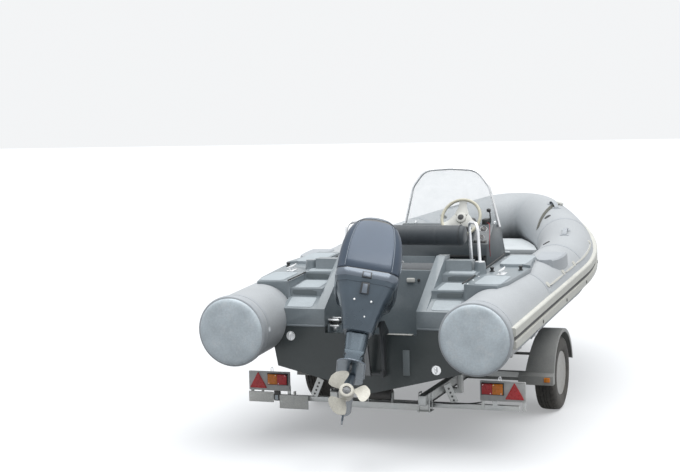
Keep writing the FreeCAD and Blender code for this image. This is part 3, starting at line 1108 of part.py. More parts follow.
def outboard():
    seam, top, back, front, half, wall = s.cowl_seam, s.cowl_top, s.cowl_back, s.cowl_front, s.cowl_half, s.cowl_wall

    corner = s.cowl_corner

    def shell(inset):
        # Share of the height, how far the sides, back and front come in there, and the corners' share of their radius
        levels = (
            (0, 0, 0, 0, 0.96), (0.35, 2, 0, 8, 1), (0.65, 14, 12, 40, 1.02),
            (0.82, 30, 34, 76, 0.98), (0.93, 50, 66, 116, 0.90), (1, 80, 115, 170, 0.70),
        )
        wires = []
        for share, side, aft, fore, turn in levels:
            z = seam + (top - seam - inset) * share - (1 if inset and not share else 0)
            wires.append(rounded_rectangle(half - side - inset, back + aft + inset, front - fore - inset, z,
                                           corner * turn - inset * 0.5))
        return Part.makeLoft(wires, True, True)

    engine_part(feature("cowl_shape", shell(0).cut(shell(wall))), "upper_cowl")
    across = 2 * half * 0.64
    along = (front - back) * 0.6
    block_shape = Part.makeBox(across, along, (top - seam) * 0.8,
                               vec(-across / 2, back + (front - back) * 0.2, s.cowl_floor + s.tray_skin))
    engine_part(feature("engine_block_shape", block_shape), "engine_block")
    tray = Part.makeLoft([
        rounded_rectangle(half, back, front, seam - s.bond_gap, corner * 0.96),
        rounded_rectangle(half - 12, back + 14, front - 14, s.cowl_floor, corner * 0.88),
    ], True, True)
    room = Part.makeLoft([
        rounded_rectangle(half - 8, back + 8, front - 8, seam + 1, corner * 0.9),
        rounded_rectangle(half - 20, back + 22, front - 22, s.cowl_floor + s.tray_skin - 0.5, corner * 0.8),
    ], True, True)
    # Height, half width, back and corners of the apron that comes down round the leg
    apron = Part.makeLoft([
        rounded_rectangle(half - 20, back + 20, s.apron_front, s.cowl_floor + 20, corner * 0.8),
        rounded_rectangle(half * 0.7, back + 60, s.apron_front, s.cowl_floor - 110, corner * 0.7),
        rounded_rectangle(half * 0.54, back + 95, s.apron_front, (s.cowl_floor - 110 + s.apron_low) / 2, corner * 0.6),
        rounded_rectangle(half * 0.42, back + 130, s.apron_front, s.apron_low, corner * 0.5),
    ], True, True)
    engine_part(feature("lower_cowl_shape", tray.fuse(apron).cut(room).removeSplitter()), "lower_cowl")
    leg = Part.makeLoft([
        rounded_rectangle(s.leg_half, back + 165, s.apron_front, s.apron_low - s.bond_gap, 45),
        rounded_rectangle(s.leg_foot_half, s.shaft_y - 140, s.apron_front, s.plate_z + 20, 38),
    ], True, True)
    plate = Part.Face(rounded_rectangle(100, s.prop_y - 110, s.shaft_y + 110, s.plate_z, 80)).extrude(Z * 8)
    low = Part.Face(rounded_rectangle(44, s.shaft_y - 135, s.shaft_y + 60, s.plate_z, 30)).extrude(Z * 21)
    pin = Part.makeCylinder(15, s.cowl_floor + 359.7, vec(0, s.swivel_y, -360))
    yoke = Part.makeBox(70, 90, 35, vec(-35, s.swivel_y - 55, -360))
    engine_part(feature("midsection_shape", leg.fuse([plate, low, pin, yoke]).removeSplitter()), "midsection")
    strut = Part.makeLoft([
        rounded_rectangle(40, s.shaft_y - 130, s.shaft_y + 75, s.plate_z - 0.3, 30),
        rounded_rectangle(32, s.shaft_y - 110, s.shaft_y + 60, s.prop_z, 24),
    ], True, True)
    stern_end = s.prop_y + s.prop_hub_length / 2 + s.running_gap
    torpedo = Part.makeCylinder(s.torpedo / 2, 330, vec(0, stern_end, s.prop_z), Y)
    nose = Part.makeCone(s.torpedo / 2, 14, 110, vec(0, stern_end + 330, s.prop_z), Y)
    skeg = Part.Face(polygon([
        vec(-7, s.shaft_y - 150, s.prop_z), vec(-7, s.shaft_y + 70, s.prop_z),
        vec(-7, s.shaft_y - 40, s.skeg_z), vec(-7, s.shaft_y - 140, s.skeg_z),
    ])).extrude(X * 14)
    shaft = Part.makeCylinder(10, s.prop_hub_length + 30, vec(0, stern_end - s.prop_hub_length - 5, s.prop_z), Y)
    engine_part(feature("gearcase_shape", strut.fuse([torpedo, nose, skeg, shaft]).removeSplitter()), "gearcase")
    hub = Part.makeCylinder(s.prop_hub / 2, s.prop_hub_length, vec(0, s.prop_y - s.prop_hub_length / 2, s.prop_z), Y)
    blades = []
    for angle in (-48, 72, 192):
        blade = Part.makeCylinder(66, 9, vec(0, -4.5, 0), Y)
        blade.translate(vec(0, 0, s.prop_diameter / 2 - 66))
        blade.rotate(vec(0, 0, 0), Z, 35)
        blade.rotate(vec(0, 0, 0), Y, angle)
        blade.translate(vec(0, s.prop_y, s.prop_z))
        blades.append(blade)
    bore = Part.makeCylinder(10 + s.pin_play, 2 * s.prop_hub_length, vec(0, s.prop_y - s.prop_hub_length, s.prop_z), Y)
    engine_part(feature("propeller_shape", hub.fuse(blades).cut(bore).removeSplitter()), "propeller")
    brackets()


def brackets():
    """Clamp on the transom, swivel bracket tilting in it, and the tilt ram between them."""
    barrel = Part.makeCylinder(s.swivel_barrel / 2, 370, vec(0, s.swivel_y, -320))
    pin_bore = Part.makeCylinder(15 + s.pin_play, 400, vec(0, s.swivel_y, -330))
    flange = Part.makeBox(114, 37, 130, vec(-57, s.swivel_y - 15, -100))
    reach = s.clamp_x - s.running_gap
    tube = Part.makeCylinder(24, 2 * reach, vec(-reach, 0, 0), X)
    plates = [Part.makeBox(12, 150, 70, vec(x, s.swivel_y + 10, -50)) for x in (-57, 45)]
    bore = Part.makeCylinder(15 + s.pin_play, 400, vec(-200, 0, 0), X)
    whole = barrel.fuse([flange, tube] + plates).cut(bore).cut(pin_bore).removeSplitter()
    engine_part(feature("swivel_bracket_shape", whole), "swivel_bracket", False)
    face = -s.tilt_y
    inside = face + s.transom_thickness
    lip = s.transom_top - s.well_drop - s.tilt_z
    outline = [
        vec(s.clamp_x, -22, 22), vec(s.clamp_x, -22, -25), vec(s.clamp_x, face - 40, -400), vec(s.clamp_x, face - 0.3, -400),
        vec(s.clamp_x, face - 0.3, lip + 0.3), vec(s.clamp_x, inside + 0.3, lip + 0.3), vec(s.clamp_x, inside + 0.3, lip - 90),
        vec(s.clamp_x, inside + 22, lip - 90), vec(s.clamp_x, inside + 22, lip + 26), vec(s.clamp_x, 40, 22),
    ]
    cheek = Part.Face(polygon(outline)).extrude(X * s.clamp_thickness)
    wide = s.clamp_x + s.clamp_thickness
    foot, eye = ram_at_rest()
    pins = [Part.makeCylinder(15, 2 * wide, vec(-wide, 0, 0), X), Part.makeCylinder(10, 2 * wide, vec(-wide, foot.y, foot.z), X)]
    ears = [Part.makeBox(s.clamp_thickness, 70, 50, vec(x, foot.y - 20, foot.z - 25)) for x in (-wide, s.clamp_x)]
    clamp = cheek.fuse([cheek.mirror(vec(0, 0, 0), X)] + pins + ears).removeSplitter()
    fixed_on_transom(feature("clamp_bracket_shape", clamp), "clamp_bracket")
    along = (eye - foot).normalize()
    barrel = Part.makeCylinder(s.ram_diameter / 2, s.ram_length - 8, foot + along * 8, along)
    ring = Part.makeCylinder(20, 40, foot - X * 20, X)
    hollow = Part.makeCylinder(s.ram_rod / 2 + 0.5, s.ram_length, foot + along * 45, along)
    cylinder = barrel.fuse(ring).cut(Part.makeCylinder(10 + s.pin_play, 60, foot - X * 30, X)).cut(hollow)
    fixed_on_transom(feature("tilt_cylinder_shape", cylinder.removeSplitter()), "tilt_cylinder")
    reach = (eye - foot).Length
    inside_length = reach - s.ram_length + 90
    shaft = Part.makeCylinder(s.ram_rod / 2, inside_length, eye - along * inside_length, along)
    head = Part.makeCylinder(16, 36, eye - X * 18, X)
    pin = Part.makeCylinder(8, 78, eye - X * 39, X)
    fixed_on_transom(feature("tilt_rod_shape", shaft.fuse([head, pin]).removeSplitter()), "tilt_rod")


tubes()
seat = hull_and_floor()
stern(seat)
bench(seat)
console()
helm()
bow(seat)
fittings()
trailer()
chassis()
guards()
support()
lamps()
outboard()
doc.recompute()

faults = [obj.Name for obj in doc.Objects if {"Invalid", "Error"} & set(obj.State)]
for obj in subparts:
    if obj.Shape.isNull() or not obj.Shape.isValid() or obj.Shape.Volume <= 0:
        faults.append(obj.Label)
if faults:
    raise RuntimeError("failed: " + ", ".join(faults))
os.makedirs("parts", exist_ok=True)
for obj in subparts:
    obj.Shape.exportStep(f"parts/{obj.Label}.step")
box = FreeCAD.BoundBox()
for obj in subparts:
    box.add(obj.Shape.BoundBox)
print(f"{len(subparts)} sub-parts, X {box.XMin:.0f} {box.XMax:.0f}, Y {box.YMin:.0f} {box.YMax:.0f}, Z {box.ZMin:.1f} {box.ZMax:.0f}")
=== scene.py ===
import json
import math

import bmesh
import bpy
from mathutils import Matrix, Vector

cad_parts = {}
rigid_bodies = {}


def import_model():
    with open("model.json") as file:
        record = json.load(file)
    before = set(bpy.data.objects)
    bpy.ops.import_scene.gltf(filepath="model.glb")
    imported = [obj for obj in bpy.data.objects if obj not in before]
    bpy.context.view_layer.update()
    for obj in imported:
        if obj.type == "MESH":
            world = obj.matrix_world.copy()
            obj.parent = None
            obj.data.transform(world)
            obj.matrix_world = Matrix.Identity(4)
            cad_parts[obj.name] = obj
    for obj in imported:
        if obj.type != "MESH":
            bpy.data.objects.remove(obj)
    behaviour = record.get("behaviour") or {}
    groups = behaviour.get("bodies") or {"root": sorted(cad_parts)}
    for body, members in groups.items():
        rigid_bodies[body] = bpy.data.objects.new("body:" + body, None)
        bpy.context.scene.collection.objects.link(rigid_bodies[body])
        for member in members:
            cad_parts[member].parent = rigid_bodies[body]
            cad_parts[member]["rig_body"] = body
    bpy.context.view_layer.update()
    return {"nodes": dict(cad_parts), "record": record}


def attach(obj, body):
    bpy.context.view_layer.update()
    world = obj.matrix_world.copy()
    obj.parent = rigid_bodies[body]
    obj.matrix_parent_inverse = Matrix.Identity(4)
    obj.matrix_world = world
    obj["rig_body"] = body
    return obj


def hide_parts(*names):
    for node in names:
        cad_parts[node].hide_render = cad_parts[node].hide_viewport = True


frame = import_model()
nodes = frame["nodes"]
ROOT = "boat_and_trailer"

# Boat axes, in metres, start at the keel's underside under the transom: X starboard, Y to the bow, Z up
BOAT = Vector((0, -2.545, 0.412))
SHEER = math.radians(3.1)
X, Y, Z = Vector((1, 0, 0)), Vector((0, 1, 0)), Vector((0, 0, 1))
Z_TO_X = Matrix.Rotation(math.radians(90), 4, "Y")
Z_TO_BACK = Matrix.Rotation(math.radians(90), 4, "X")
SIDES = ((1, "starboard"), (-1, "port"))

# The outboard's own upright axes start at its tilt axis
TILT_AXIS = BOAT + Vector((0, -0.060, 0.545))
TILTED = Matrix.Translation(TILT_AXIS) @ Matrix.Rotation(math.radians(-33), 4, "X")
SWIVEL = Matrix.Translation((0, -0.150, 0))
STEERED = TILTED @ SWIVEL @ Matrix.Rotation(math.radians(20), 4, "Z") @ SWIVEL.inverted()

# The photograph's view: the camera's place in metres, its lens in pixels of the picture, and its angles
PICTURE_WIDTH = 680
SENSOR_WIDTH = 36
FOCAL_PIXELS = 1500
CAMERA_PLACE = Vector((3.81, -13.165, 2.712))
CAMERA_YAW = math.radians(20.8)
CAMERA_PITCH = math.radians(5.5)
CAMERA_ROLL = math.radians(1.6)


def camera():
    yaw, pitch, roll = CAMERA_YAW, CAMERA_PITCH, CAMERA_ROLL
    ahead = Vector((-math.sin(yaw) * math.cos(pitch), math.cos(yaw) * math.cos(pitch), -math.sin(pitch)))
    level = Vector((math.cos(yaw), math.sin(yaw), 0))
    below = ahead.cross(level)
    right = level * math.cos(roll) + below * math.sin(roll)
    down = below * math.cos(roll) - level * math.sin(roll)
    data = bpy.data.cameras.new("camera")
    data.sensor_fit = "HORIZONTAL"
    data.sensor_width = SENSOR_WIDTH
    data.lens = FOCAL_PIXELS * data.sensor_width / PICTURE_WIDTH
    data.clip_end = 200
    item = bpy.data.objects.new("camera", data)
    turn = Matrix((right, -down, -ahead)).transposed().to_4x4()
    item.matrix_world = Matrix.Translation(CAMERA_PLACE) @ turn
    bpy.context.collection.objects.link(item)
    bpy.context.scene.camera = item


# Materials

def node(tree, kind, **values):
    item = tree.nodes.new(kind)
    for key, value in values.items():
        if hasattr(item, key):
            setattr(item, key, value)
        else:
            item.inputs[key.replace("_", " ")].default_value = value
    return item


def noise(tree, place, scale, detail, roughness=0.5):
    item = node(tree, "ShaderNodeTexNoise", Scale=scale, Detail=detail, Roughness=roughness)
    tree.links.new(place, item.inputs["Vector"])
    return item.outputs["Fac"]


def combined(tree, operation, first, second):
    item = node(tree, "ShaderNodeMath", operation=operation)
    tree.links.new(first, item.inputs[0])
    tree.links.new(second, item.inputs[1])
    return item.outputs[0]


def mapped(tree, source, low, high, out_low, out_high):
    """A grey value between two stops, spread to a range."""
    item = node(tree, "ShaderNodeMapRange", From_Min=low, From_Max=high, To_Min=out_low, To_Max=out_high)
    tree.links.new(source, item.inputs["Value"])
    return item.outputs["Result"]


def blended(tree, factor, first, second):
    """Two colours mixed by a factor; each is a value or another node's output."""
    item = node(tree, "ShaderNodeMix", data_type="RGBA")
    for socket, kind, value in (("Factor", "VALUE", factor), ("A", "RGBA", first), ("B", "RGBA", second)):
        target = next(i for i in item.inputs if i.name == socket and i.type == kind)
        if isinstance(value, tuple):
            target.default_value = (*value, 1)
        else:
            tree.links.new(value, target)
    return next(o for o in item.outputs if o.type == "RGBA")


def started(name):
    """A new material with its tree, its shader and its texture place."""
    made = bpy.data.materials.new(name)
    made.use_nodes = True
    tree = made.node_tree
    place = tree.nodes.new("ShaderNodeTexCoord").outputs["Object"]
    return made, tree, tree.nodes["Principled BSDF"], place


def grain_height(tree, place, grain, scale):
    """Height of the fine grain: woven threads, pebbled skin, brush marks or plain noise."""
    if grain == "weave":
        threads = []
        for direction in ("X", "Y", "Z"):
            wave = node(tree, "ShaderNodeTexWave", bands_direction=direction, Scale=scale, Distortion=0.4)
            tree.links.new(place, wave.inputs["Vector"])
            threads.append(wave.outputs["Fac"])
        return combined(tree, "ADD", combined(tree, "ADD", threads[0], threads[1]), threads[2])
    if grain == "pebble":
        cells = node(tree, "ShaderNodeTexVoronoi", Scale=scale, feature="F1")
        tree.links.new(place, cells.inputs["Vector"])
        return cells.outputs["Distance"]
    if grain == "brushed":
        stretch = node(tree, "ShaderNodeMapping", Scale=(1, 0.04, 1))
        tree.links.new(place, stretch.inputs["Vector"])
        return noise(tree, stretch.outputs[0], scale, 3.0)
    return noise(tree, place, scale, 4.0, 0.6)


M = {}


def surface(name, colour, rough, metal=0.0, mottle=0.08, mottle_scale=5, speck=0.1, speck_scale=180.0,
            grain="noise", grain_scale=350.0, bump=0.2, depth=0.0004, dust=0.0,
            dust_colour=(0.42, 0.39, 0.34), coat=0.0, sheen=0.0, rough_spread=0.10, other=None):
    """Procedural surface: a colour with broad mottling, fine specks and dust, and a grain in its bump."""
    M[name], tree, shader, place = started(name)
    broad = noise(tree, place, mottle_scale, 5.0, 0.6)
    fine = noise(tree, place, speck_scale, 2.0)
    darker = tuple(c * (1 - mottle) for c in colour)
    lighter = tuple(min(1, c * (1 + mottle * 0.8)) for c in colour)
    shade = blended(tree, mapped(tree, broad, 0.32, 0.68, 0, 1), darker, lighter)
    if other:
        patch = noise(tree, place, mottle_scale * 2.7, 6.0, 0.7)
        shade = blended(tree, mapped(tree, patch, 0.5, 0.72, 0, 0.8), shade, other)
    shade = blended(tree, mapped(tree, fine, 0.35, 0.65, 0, speck), shade, tuple(c * 0.25 for c in colour))
    if dust:
        # Dust thickens downwards
        split = tree.nodes.new("ShaderNodeSeparateXYZ")
        tree.links.new(place, split.inputs[0])
        low = mapped(tree, split.outputs["Z"], 0.1, 1.1, 1.0, 0.25)
        cloud = mapped(tree, broad, 0.35, 0.75, 0.15, 1.0)
        shade = blended(tree, mapped(tree, combined(tree, "MULTIPLY", low, cloud), 0, 1, 0, dust), shade,
                        dust_colour)
    tree.links.new(shade, shader.inputs["Base Color"])
    smoothest, roughest = max(0.03, rough - rough_spread / 2), min(1, rough + rough_spread)
    tree.links.new(mapped(tree, broad, 0.3, 0.7, smoothest, roughest), shader.inputs["Roughness"])
    for socket, value in (("Metallic", metal), ("Coat Weight", coat), ("Coat Roughness", 0.12),
                          ("Sheen Weight", sheen)):
        shader.inputs[socket].default_value = value
    relief = node(tree, "ShaderNodeBump", Strength=bump, Distance=depth)
    tree.links.new(grain_height(tree, place, grain, grain_scale), relief.inputs["Height"])
    tree.links.new(relief.outputs["Normal"], shader.inputs["Normal"])


def clear(name, colour, rough, alpha):
    """A clear sheet with faint smears."""
    M[name], tree, shader, place = started(name)
    smear = noise(tree, place, 9.0, 6.0, 0.65)
    shade = blended(tree, mapped(tree, smear, 0.3, 0.7, 0, 1), colour,
                    tuple(min(1, c * 1.12) for c in colour))
    tree.links.new(shade, shader.inputs["Base Color"])
    tree.links.new(mapped(tree, smear, 0.3, 0.7, rough, rough + 0.12), shader.inputs["Roughness"])
    tree.links.new(mapped(tree, smear, 0.35, 0.7, alpha * 0.9, alpha * 1.15), shader.inputs["Alpha"])
    shader.inputs["Coat Weight"].default_value = 0.6


surface("tube_fabric", (0.47, 0.495, 0.515), 0.50, mottle=0.07, mottle_scale=2.2, speck_scale=90,
        grain="weave", grain_scale=260, bump=0.10, depth=0.0003, dust=0.22, dust_colour=(0.36, 0.35, 0.33),
        sheen=0.1)
surface("tape_fabric", (0.44, 0.47, 0.50), 0.55, speck=0.12, speck_scale=120, grain="weave",
        grain_scale=280, bump=0.14, depth=0.0003, dust=0.2, sheen=0.1)
surface("cap_rubber", (0.66, 0.74, 0.79), 0.48, mottle=0.16, speck=0.12, speck_scale=70, grain_scale=240,
        bump=0.14, depth=0.0006, dust=0.08, other=(0.76, 0.81, 0.84))
surface("strake_rubber", (0.66, 0.66, 0.61), 0.52, mottle_scale=7, speck=0.16, speck_scale=60,
        grain_scale=300, bump=0.12, dust=0.25)
surface("dark_rubber", (0.035, 0.037, 0.038), 0.6, mottle=0.2, mottle_scale=10, grain_scale=300, dust=0.25)
surface("hull_gelcoat", (0.030, 0.040, 0.042), 0.34, mottle=0.12, mottle_scale=3, speck=0.06,
        speck_scale=50, grain_scale=40, bump=0.05, depth=0.0008, dust=0.18, dust_colour=(0.17, 0.17, 0.155),
        coat=0.15)
surface("deck_gelcoat", (0.225, 0.262, 0.285), 0.36, mottle=0.07, mottle_scale=4, speck=0.08,
        speck_scale=60, grain_scale=60, bump=0.05, depth=0.0006, dust=0.10, coat=0.3)
surface("deck_dark", (0.15, 0.175, 0.185), 0.5, speck=0.08, speck_scale=80, grain="pebble", grain_scale=420,
        bump=0.35, depth=0.0008, dust=0.10)
surface("floor_gelcoat", (0.24, 0.26, 0.27), 0.6, mottle=0.1, mottle_scale=4, speck=0.16, speck_scale=40,
        grain="pebble", grain_scale=160, bump=0.5, depth=0.0012, dust=0.3)
surface("console_gelcoat", (0.080, 0.096, 0.106), 0.34, mottle=0.07, speck=0.06, grain_scale=70, bump=0.05,
        depth=0.0006, dust=0.08, coat=0.3)
surface("cushion_cover", (0.050, 0.060, 0.069), 0.52, mottle=0.14, mottle_scale=6, speck_scale=150,
        grain="pebble", grain_scale=520, bump=0.45, depth=0.0006, sheen=0.25)
surface("piping", (0.035, 0.04, 0.046), 0.5, mottle=0.1, mottle_scale=4.0, grain="weave", grain_scale=600,
        bump=0.3, sheen=0.2)
surface("stainless", (0.93, 0.94, 0.95), 0.30, metal=0.72, mottle=0.05, mottle_scale=8, speck=0.05,
        speck_scale=300, grain="brushed", grain_scale=420, bump=0.04, depth=0.0002)
clear("screen_clear", (0.72, 0.78, 0.80), 0.05, 0.17)
surface("helm_rim", (0.68, 0.65, 0.52), 0.42, mottle_scale=14, speck_scale=160, grain="pebble",
        grain_scale=700, bump=0.3, sheen=0.1)
surface("helm_white", (0.66, 0.66, 0.62), 0.35, mottle=0.06, mottle_scale=12, grain_scale=200, bump=0.05,
        coat=0.3)
# Black plastic; also the painted shade seen through the rim's slots, the vent's slots and the bracket's
# holes
surface("black_moulding", (0.030, 0.032, 0.034), 0.45, mottle=0.2, mottle_scale=12, grain_scale=500,
        depth=0.0003, dust=0.12)
surface("cowl_paint", (0.052, 0.078, 0.118), 0.32, metal=0.30, mottle_scale=3, speck_scale=900,
        grain_scale=900, bump=0.03, depth=0.0002, coat=0.4, rough_spread=0.08)
# Silver grey of the cap, lip, latch and rims; also the painted highlights along the cowl's creases and the
# plate's rim
surface("cowl_silver_and_painted_highlight", (0.15, 0.18, 0.22), 0.30, metal=0.5, mottle_scale=4, speck_scale=900,
        grain_scale=900, bump=0.03, depth=0.0002, coat=0.6)
surface("cowl_black", (0.03, 0.034, 0.04), 0.32, mottle=0.15, mottle_scale=6, grain_scale=400, bump=0.06,
        depth=0.0003, coat=0.4)
surface("engine_paint", (0.074, 0.102, 0.130), 0.28, metal=0.5, mottle=0.12, speck=0.12, speck_scale=500,
        grain_scale=160, bump=0.10, depth=0.0006, coat=0.5)
surface("engine_mass", (0.06, 0.06, 0.062), 0.6, metal=0.4, mottle=0.1, mottle_scale=4.0, speck=0.04,
        grain_scale=90, bump=0.4, depth=0.001)
# The leg's paint is a lighter copy of the engine paint: painted highlight on the leg's glossy casing
surface("leg_metal_with_painted_highlight", (0.15, 0.19, 0.225), 0.26, metal=0.65, mottle=0.10, mottle_scale=6, speck=0.12,
        speck_scale=500, grain_scale=160, bump=0.10, depth=0.0005, coat=0.4)
# Non-slip grip, made lighter than the deck gelcoat as painted light from above on the treads and shelf
# platforms
surface("tread_grip_painted_light", (0.44, 0.49, 0.52), 0.6, mottle=0.07, mottle_scale=6, speck_scale=60, grain="pebble",
        grain_scale=300, bump=0.45, depth=0.0010, dust=0.12)
surface("lid_gelcoat", (0.60, 0.64, 0.66), 0.5, mottle=0.06, speck_scale=60, grain="pebble",
        grain_scale=240, depth=0.0008, dust=0.10)
surface("propeller_paint", (0.70, 0.68, 0.60), 0.42, mottle_scale=14, speck=0.14, speck_scale=120,
        grain_scale=220, bump=0.10, coat=0.2, other=(0.60, 0.57, 0.49))
surface("clamp_paint", (0.040, 0.046, 0.052), 0.4, metal=0.3, mottle=0.15, mottle_scale=9, speck=0.14,
        speck_scale=200, grain_scale=150, depth=0.0006, dust=0.12)
surface("ram_steel", (0.15, 0.155, 0.16), 0.32, metal=0.9, mottle=0.1, mottle_scale=14, grain="brushed",
        grain_scale=500, bump=0.06)
surface("galvanised", (0.50, 0.52, 0.52), 0.42, metal=0.75, mottle=0.16, mottle_scale=6, speck_scale=240,
        grain="pebble", grain_scale=70, bump=0.12, depth=0.0006, dust=0.35, rough_spread=0.2)
surface("guard_plastic", (0.36, 0.37, 0.365), 0.55, mottle=0.12, speck=0.16, speck_scale=110,
        grain="pebble", grain_scale=600, dust=0.40)
surface("tyre_rubber", (0.028, 0.028, 0.027), 0.75, mottle=0.2, mottle_scale=9, grain_scale=260, bump=0.3,
        depth=0.0006, dust=0.32)
surface("rim_steel", (0.34, 0.34, 0.33), 0.45, metal=0.6, mottle=0.16, mottle_scale=14, speck=0.2,
        speck_scale=160, grain_scale=200, depth=0.0005, dust=0.3, other=(0.22, 0.17, 0.12))
surface("roller_rubber", (0.04, 0.04, 0.042), 0.6, mottle=0.2, mottle_scale=12, speck=0.04, bump=0.3,
        dust=0.3)
surface("bunk_carpet", (0.09, 0.095, 0.10), 0.95, mottle=0.3, mottle_scale=20, speck=0.3, speck_scale=500,
        grain_scale=900, bump=1.0, depth=0.003, dust=0.25, sheen=0.5)
surface("board_plastic", (0.66, 0.67, 0.66), 0.5, mottle=0.2, mottle_scale=14, speck=0.04, dust=0.3)
surface("red_lens", (0.60, 0.008, 0.014), 0.26, mottle=0.12, mottle_scale=40, grain="pebble",
        grain_scale=420, bump=0.35, depth=0.0010, coat=0.15)
surface("amber_lens", (0.88, 0.26, 0.006), 0.26, mottle=0.12, mottle_scale=40, grain="pebble",
        grain_scale=420, bump=0.35, depth=0.0010, coat=0.15)
surface("plate_white", (0.93, 0.93, 0.88), 0.5, mottle_scale=12, speck=0.15, speck_scale=120, bump=0.1,
        dust=0.04)
surface("strap_webbing", (0.16, 0.17, 0.18), 0.8, mottle=0.15, mottle_scale=30, speck=0.04, grain="weave",
        grain_scale=700, bump=0.8, depth=0.0008, sheen=0.3)
surface("olive_webbing", (0.085, 0.085, 0.06), 0.8, mottle=0.2, mottle_scale=30, speck=0.04, grain="weave",
        grain_scale=700, bump=0.8, depth=0.0008, sheen=0.3)
surface("hose_black", (0.022, 0.022, 0.024), 0.42, mottle=0.2, mottle_scale=20, speck=0.04, bump=0.15)
surface("red_cord", (0.45, 0.02, 0.03), 0.5, mottle=0.12, mottle_scale=40, speck=0.04, bump=0.15)
surface("gauge_face", (0.02, 0.022, 0.025), 0.3, mottle=0.2, mottle_scale=4.0, speck=0.04, bump=0.05,
        coat=0.5)
surface("lamp_white", (0.72, 0.72, 0.68), 0.3, mottle_scale=30, speck=0.04, grain="pebble", grain_scale=500,
        bump=0.3, coat=0.4)


# Mesh helpers

def B(x, y, z):
    """A point given in boat axes."""
    return BOAT + Vector((x, y, z))


def boat_axes(side=1):
    """Matrix of the boat's axes, mirrored to port for side -1."""
    return Matrix.Translation(BOAT) @ Matrix.Scale(side, 4, X)


def place_piece(name, mesh, paint, body=ROOT, replaces=()):
    item = bpy.data.objects.new(name, mesh)
    bpy.context.collection.objects.link(item)
    mesh.materials.clear()
    mesh.materials.append(M[paint])
    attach(item, body)
    if replaces:
        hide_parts(*replaces)
    return item


def from_bmesh(form, name, sharp=35):
    """Finish a bmesh: normals outward, smooth faces with sharp edges above an angle."""
    bmesh.ops.remove_doubles(form, verts=form.verts, dist=1e-6)
    bmesh.ops.recalc_face_normals(form, faces=form.faces)
    limit = math.radians(sharp)
    for face in form.faces:
        face.smooth = True
    for edge in form.edges:
        if len(edge.link_faces) == 2 and edge.calc_face_angle(0) > limit:
            edge.smooth = False
    mesh = bpy.data.meshes.new(name)
    form.to_mesh(mesh)
    form.free()
    return mesh


def join(name, form, paint, body=ROOT, slot=None, replaces=(), sharp=35):
    """Make a bmesh, with all that was put into it, a piece of the object."""
    return place_piece(name, from_bmesh(form, name, sharp), paint, body, replaces)


def applied(item):
    """The object's mesh with its modifiers applied; they are taken off it."""
    bpy.context.view_layer.update()
    made = bpy.data.meshes.new_from_object(item.evaluated_get(bpy.context.evaluated_depsgraph_get()))
    item.modifiers.clear()
    return made


def rings_mesh(form, rings, closed=True, ends=True):
    """Skin a row of rings of points, all of one length, into a bmesh."""
    rows = [[form.verts.new(p) for p in ring] for ring in rings]
    count = len(rows[0])
    last = count if closed else count - 1
    for first, second in zip(rows, rows[1:]):
        for i in range(last):
            j = (i + 1) % count
            form.faces.new((first[i], first[j], second[j], second[i]))
    if ends:
        form.faces.new(list(reversed(rows[0])))
        form.faces.new(rows[-1])


def frames_along(points):
    """Matrices along a row of points, each turned as little as possible; local Z runs along."""
    points = [Vector(p) for p in points]
    heading = (points[1] - points[0]).normalized()
    side = heading.orthogonal().normalized()
    out = []
    for i, point in enumerate(points):
        before = points[max(i - 1, 0)]
        after = points[min(i + 1, len(points) - 1)]
        along = (after - before).normalized()
        side = (side - along * side.dot(along)).normalized()
        across = along.cross(side)
        out.append(Matrix((side, across, along)).transposed().to_4x4())
        out[-1].translation = point
    return out


def circle(radius, sides, height=0.0):
    angles = [math.tau * i / sides for i in range(sides)]
    return [Vector((radius * math.cos(a), radius * math.sin(a), height)) for a in angles]


def rounded(low, high, radius, steps):
    """Outline of a rectangle with round corners, each of so many steps."""
    (x0, y0), (x1, y1) = low, high
    centres = ((x1 - radius, y1 - radius), (x0 + radius, y1 - radius), (x0 + radius, y0 + radius),
               (x1 - radius, y0 + radius))
    out = []
    for corner, (x, y) in enumerate(centres):
        for k in range(steps + 1):
            a = math.radians(90 * (corner + k / steps))
            out.append((x + radius * math.cos(a), y + radius * math.sin(a)))
    return out


def smooth_line(points, steps=8):
    """Points along a uniform Catmull-Rom line through the given ones."""
    p = [Vector(q) for q in points]
    p = [2 * p[0] - p[1]] + p + [2 * p[-1] - p[-2]]
    out = []
    for a, b, c, d in zip(p, p[1:], p[2:], p[3:]):
        for k in range(steps):
            t = k / steps
            bend = (2 * a - 5 * b + 4 * c - d) * t * t
            out.append(0.5 * ((2 * b) + (c - a) * t + bend + (3 * b - a - 3 * c + d) * t ** 3))
    out.append(p[-2])
    return out


def pipe_into(form, points, radius, sides=16):
    """Round pipe along a row of points, of one radius or of one for each point."""
    frames = frames_along(points)
    radii = radius if isinstance(radius, list) else [radius] * len(frames)
    rings_mesh(form, [[f @ p for p in circle(r, sides)] for f, r in zip(frames, radii)])


def lathe_into(form, profile, steps=48, matrix=None):
    """Turn a row of (radius, height) about local Z."""
    matrix = matrix or Matrix.Identity(4)
    rows = []
    for radius, height in profile:
        ring = circle(radius, steps, height) if radius >= 1e-6 else [Vector((0, 0, height))]
        rows.append([form.verts.new(matrix @ p) for p in ring])
    for first, second in zip(rows, rows[1:]):
        for i in range(steps):
            j = (i + 1) % steps
            corners = [first[i % len(first)], first[j % len(first)], second[j % len(second)],
                       second[i % len(second)]]
            kept = list(dict.fromkeys(corners))
            if len(kept) > 2:
                form.faces.new(kept)
    for row in (rows[0], rows[-1]):
        if len(row) > 1:
            form.faces.new(row)


def lathe(name, profile, paint, body=ROOT, matrix=None, slot=None, replaces=(), steps=48):
    form = bmesh.new()
    lathe_into(form, profile, steps, matrix)
    return join(name, form, paint, body, slot, replaces)


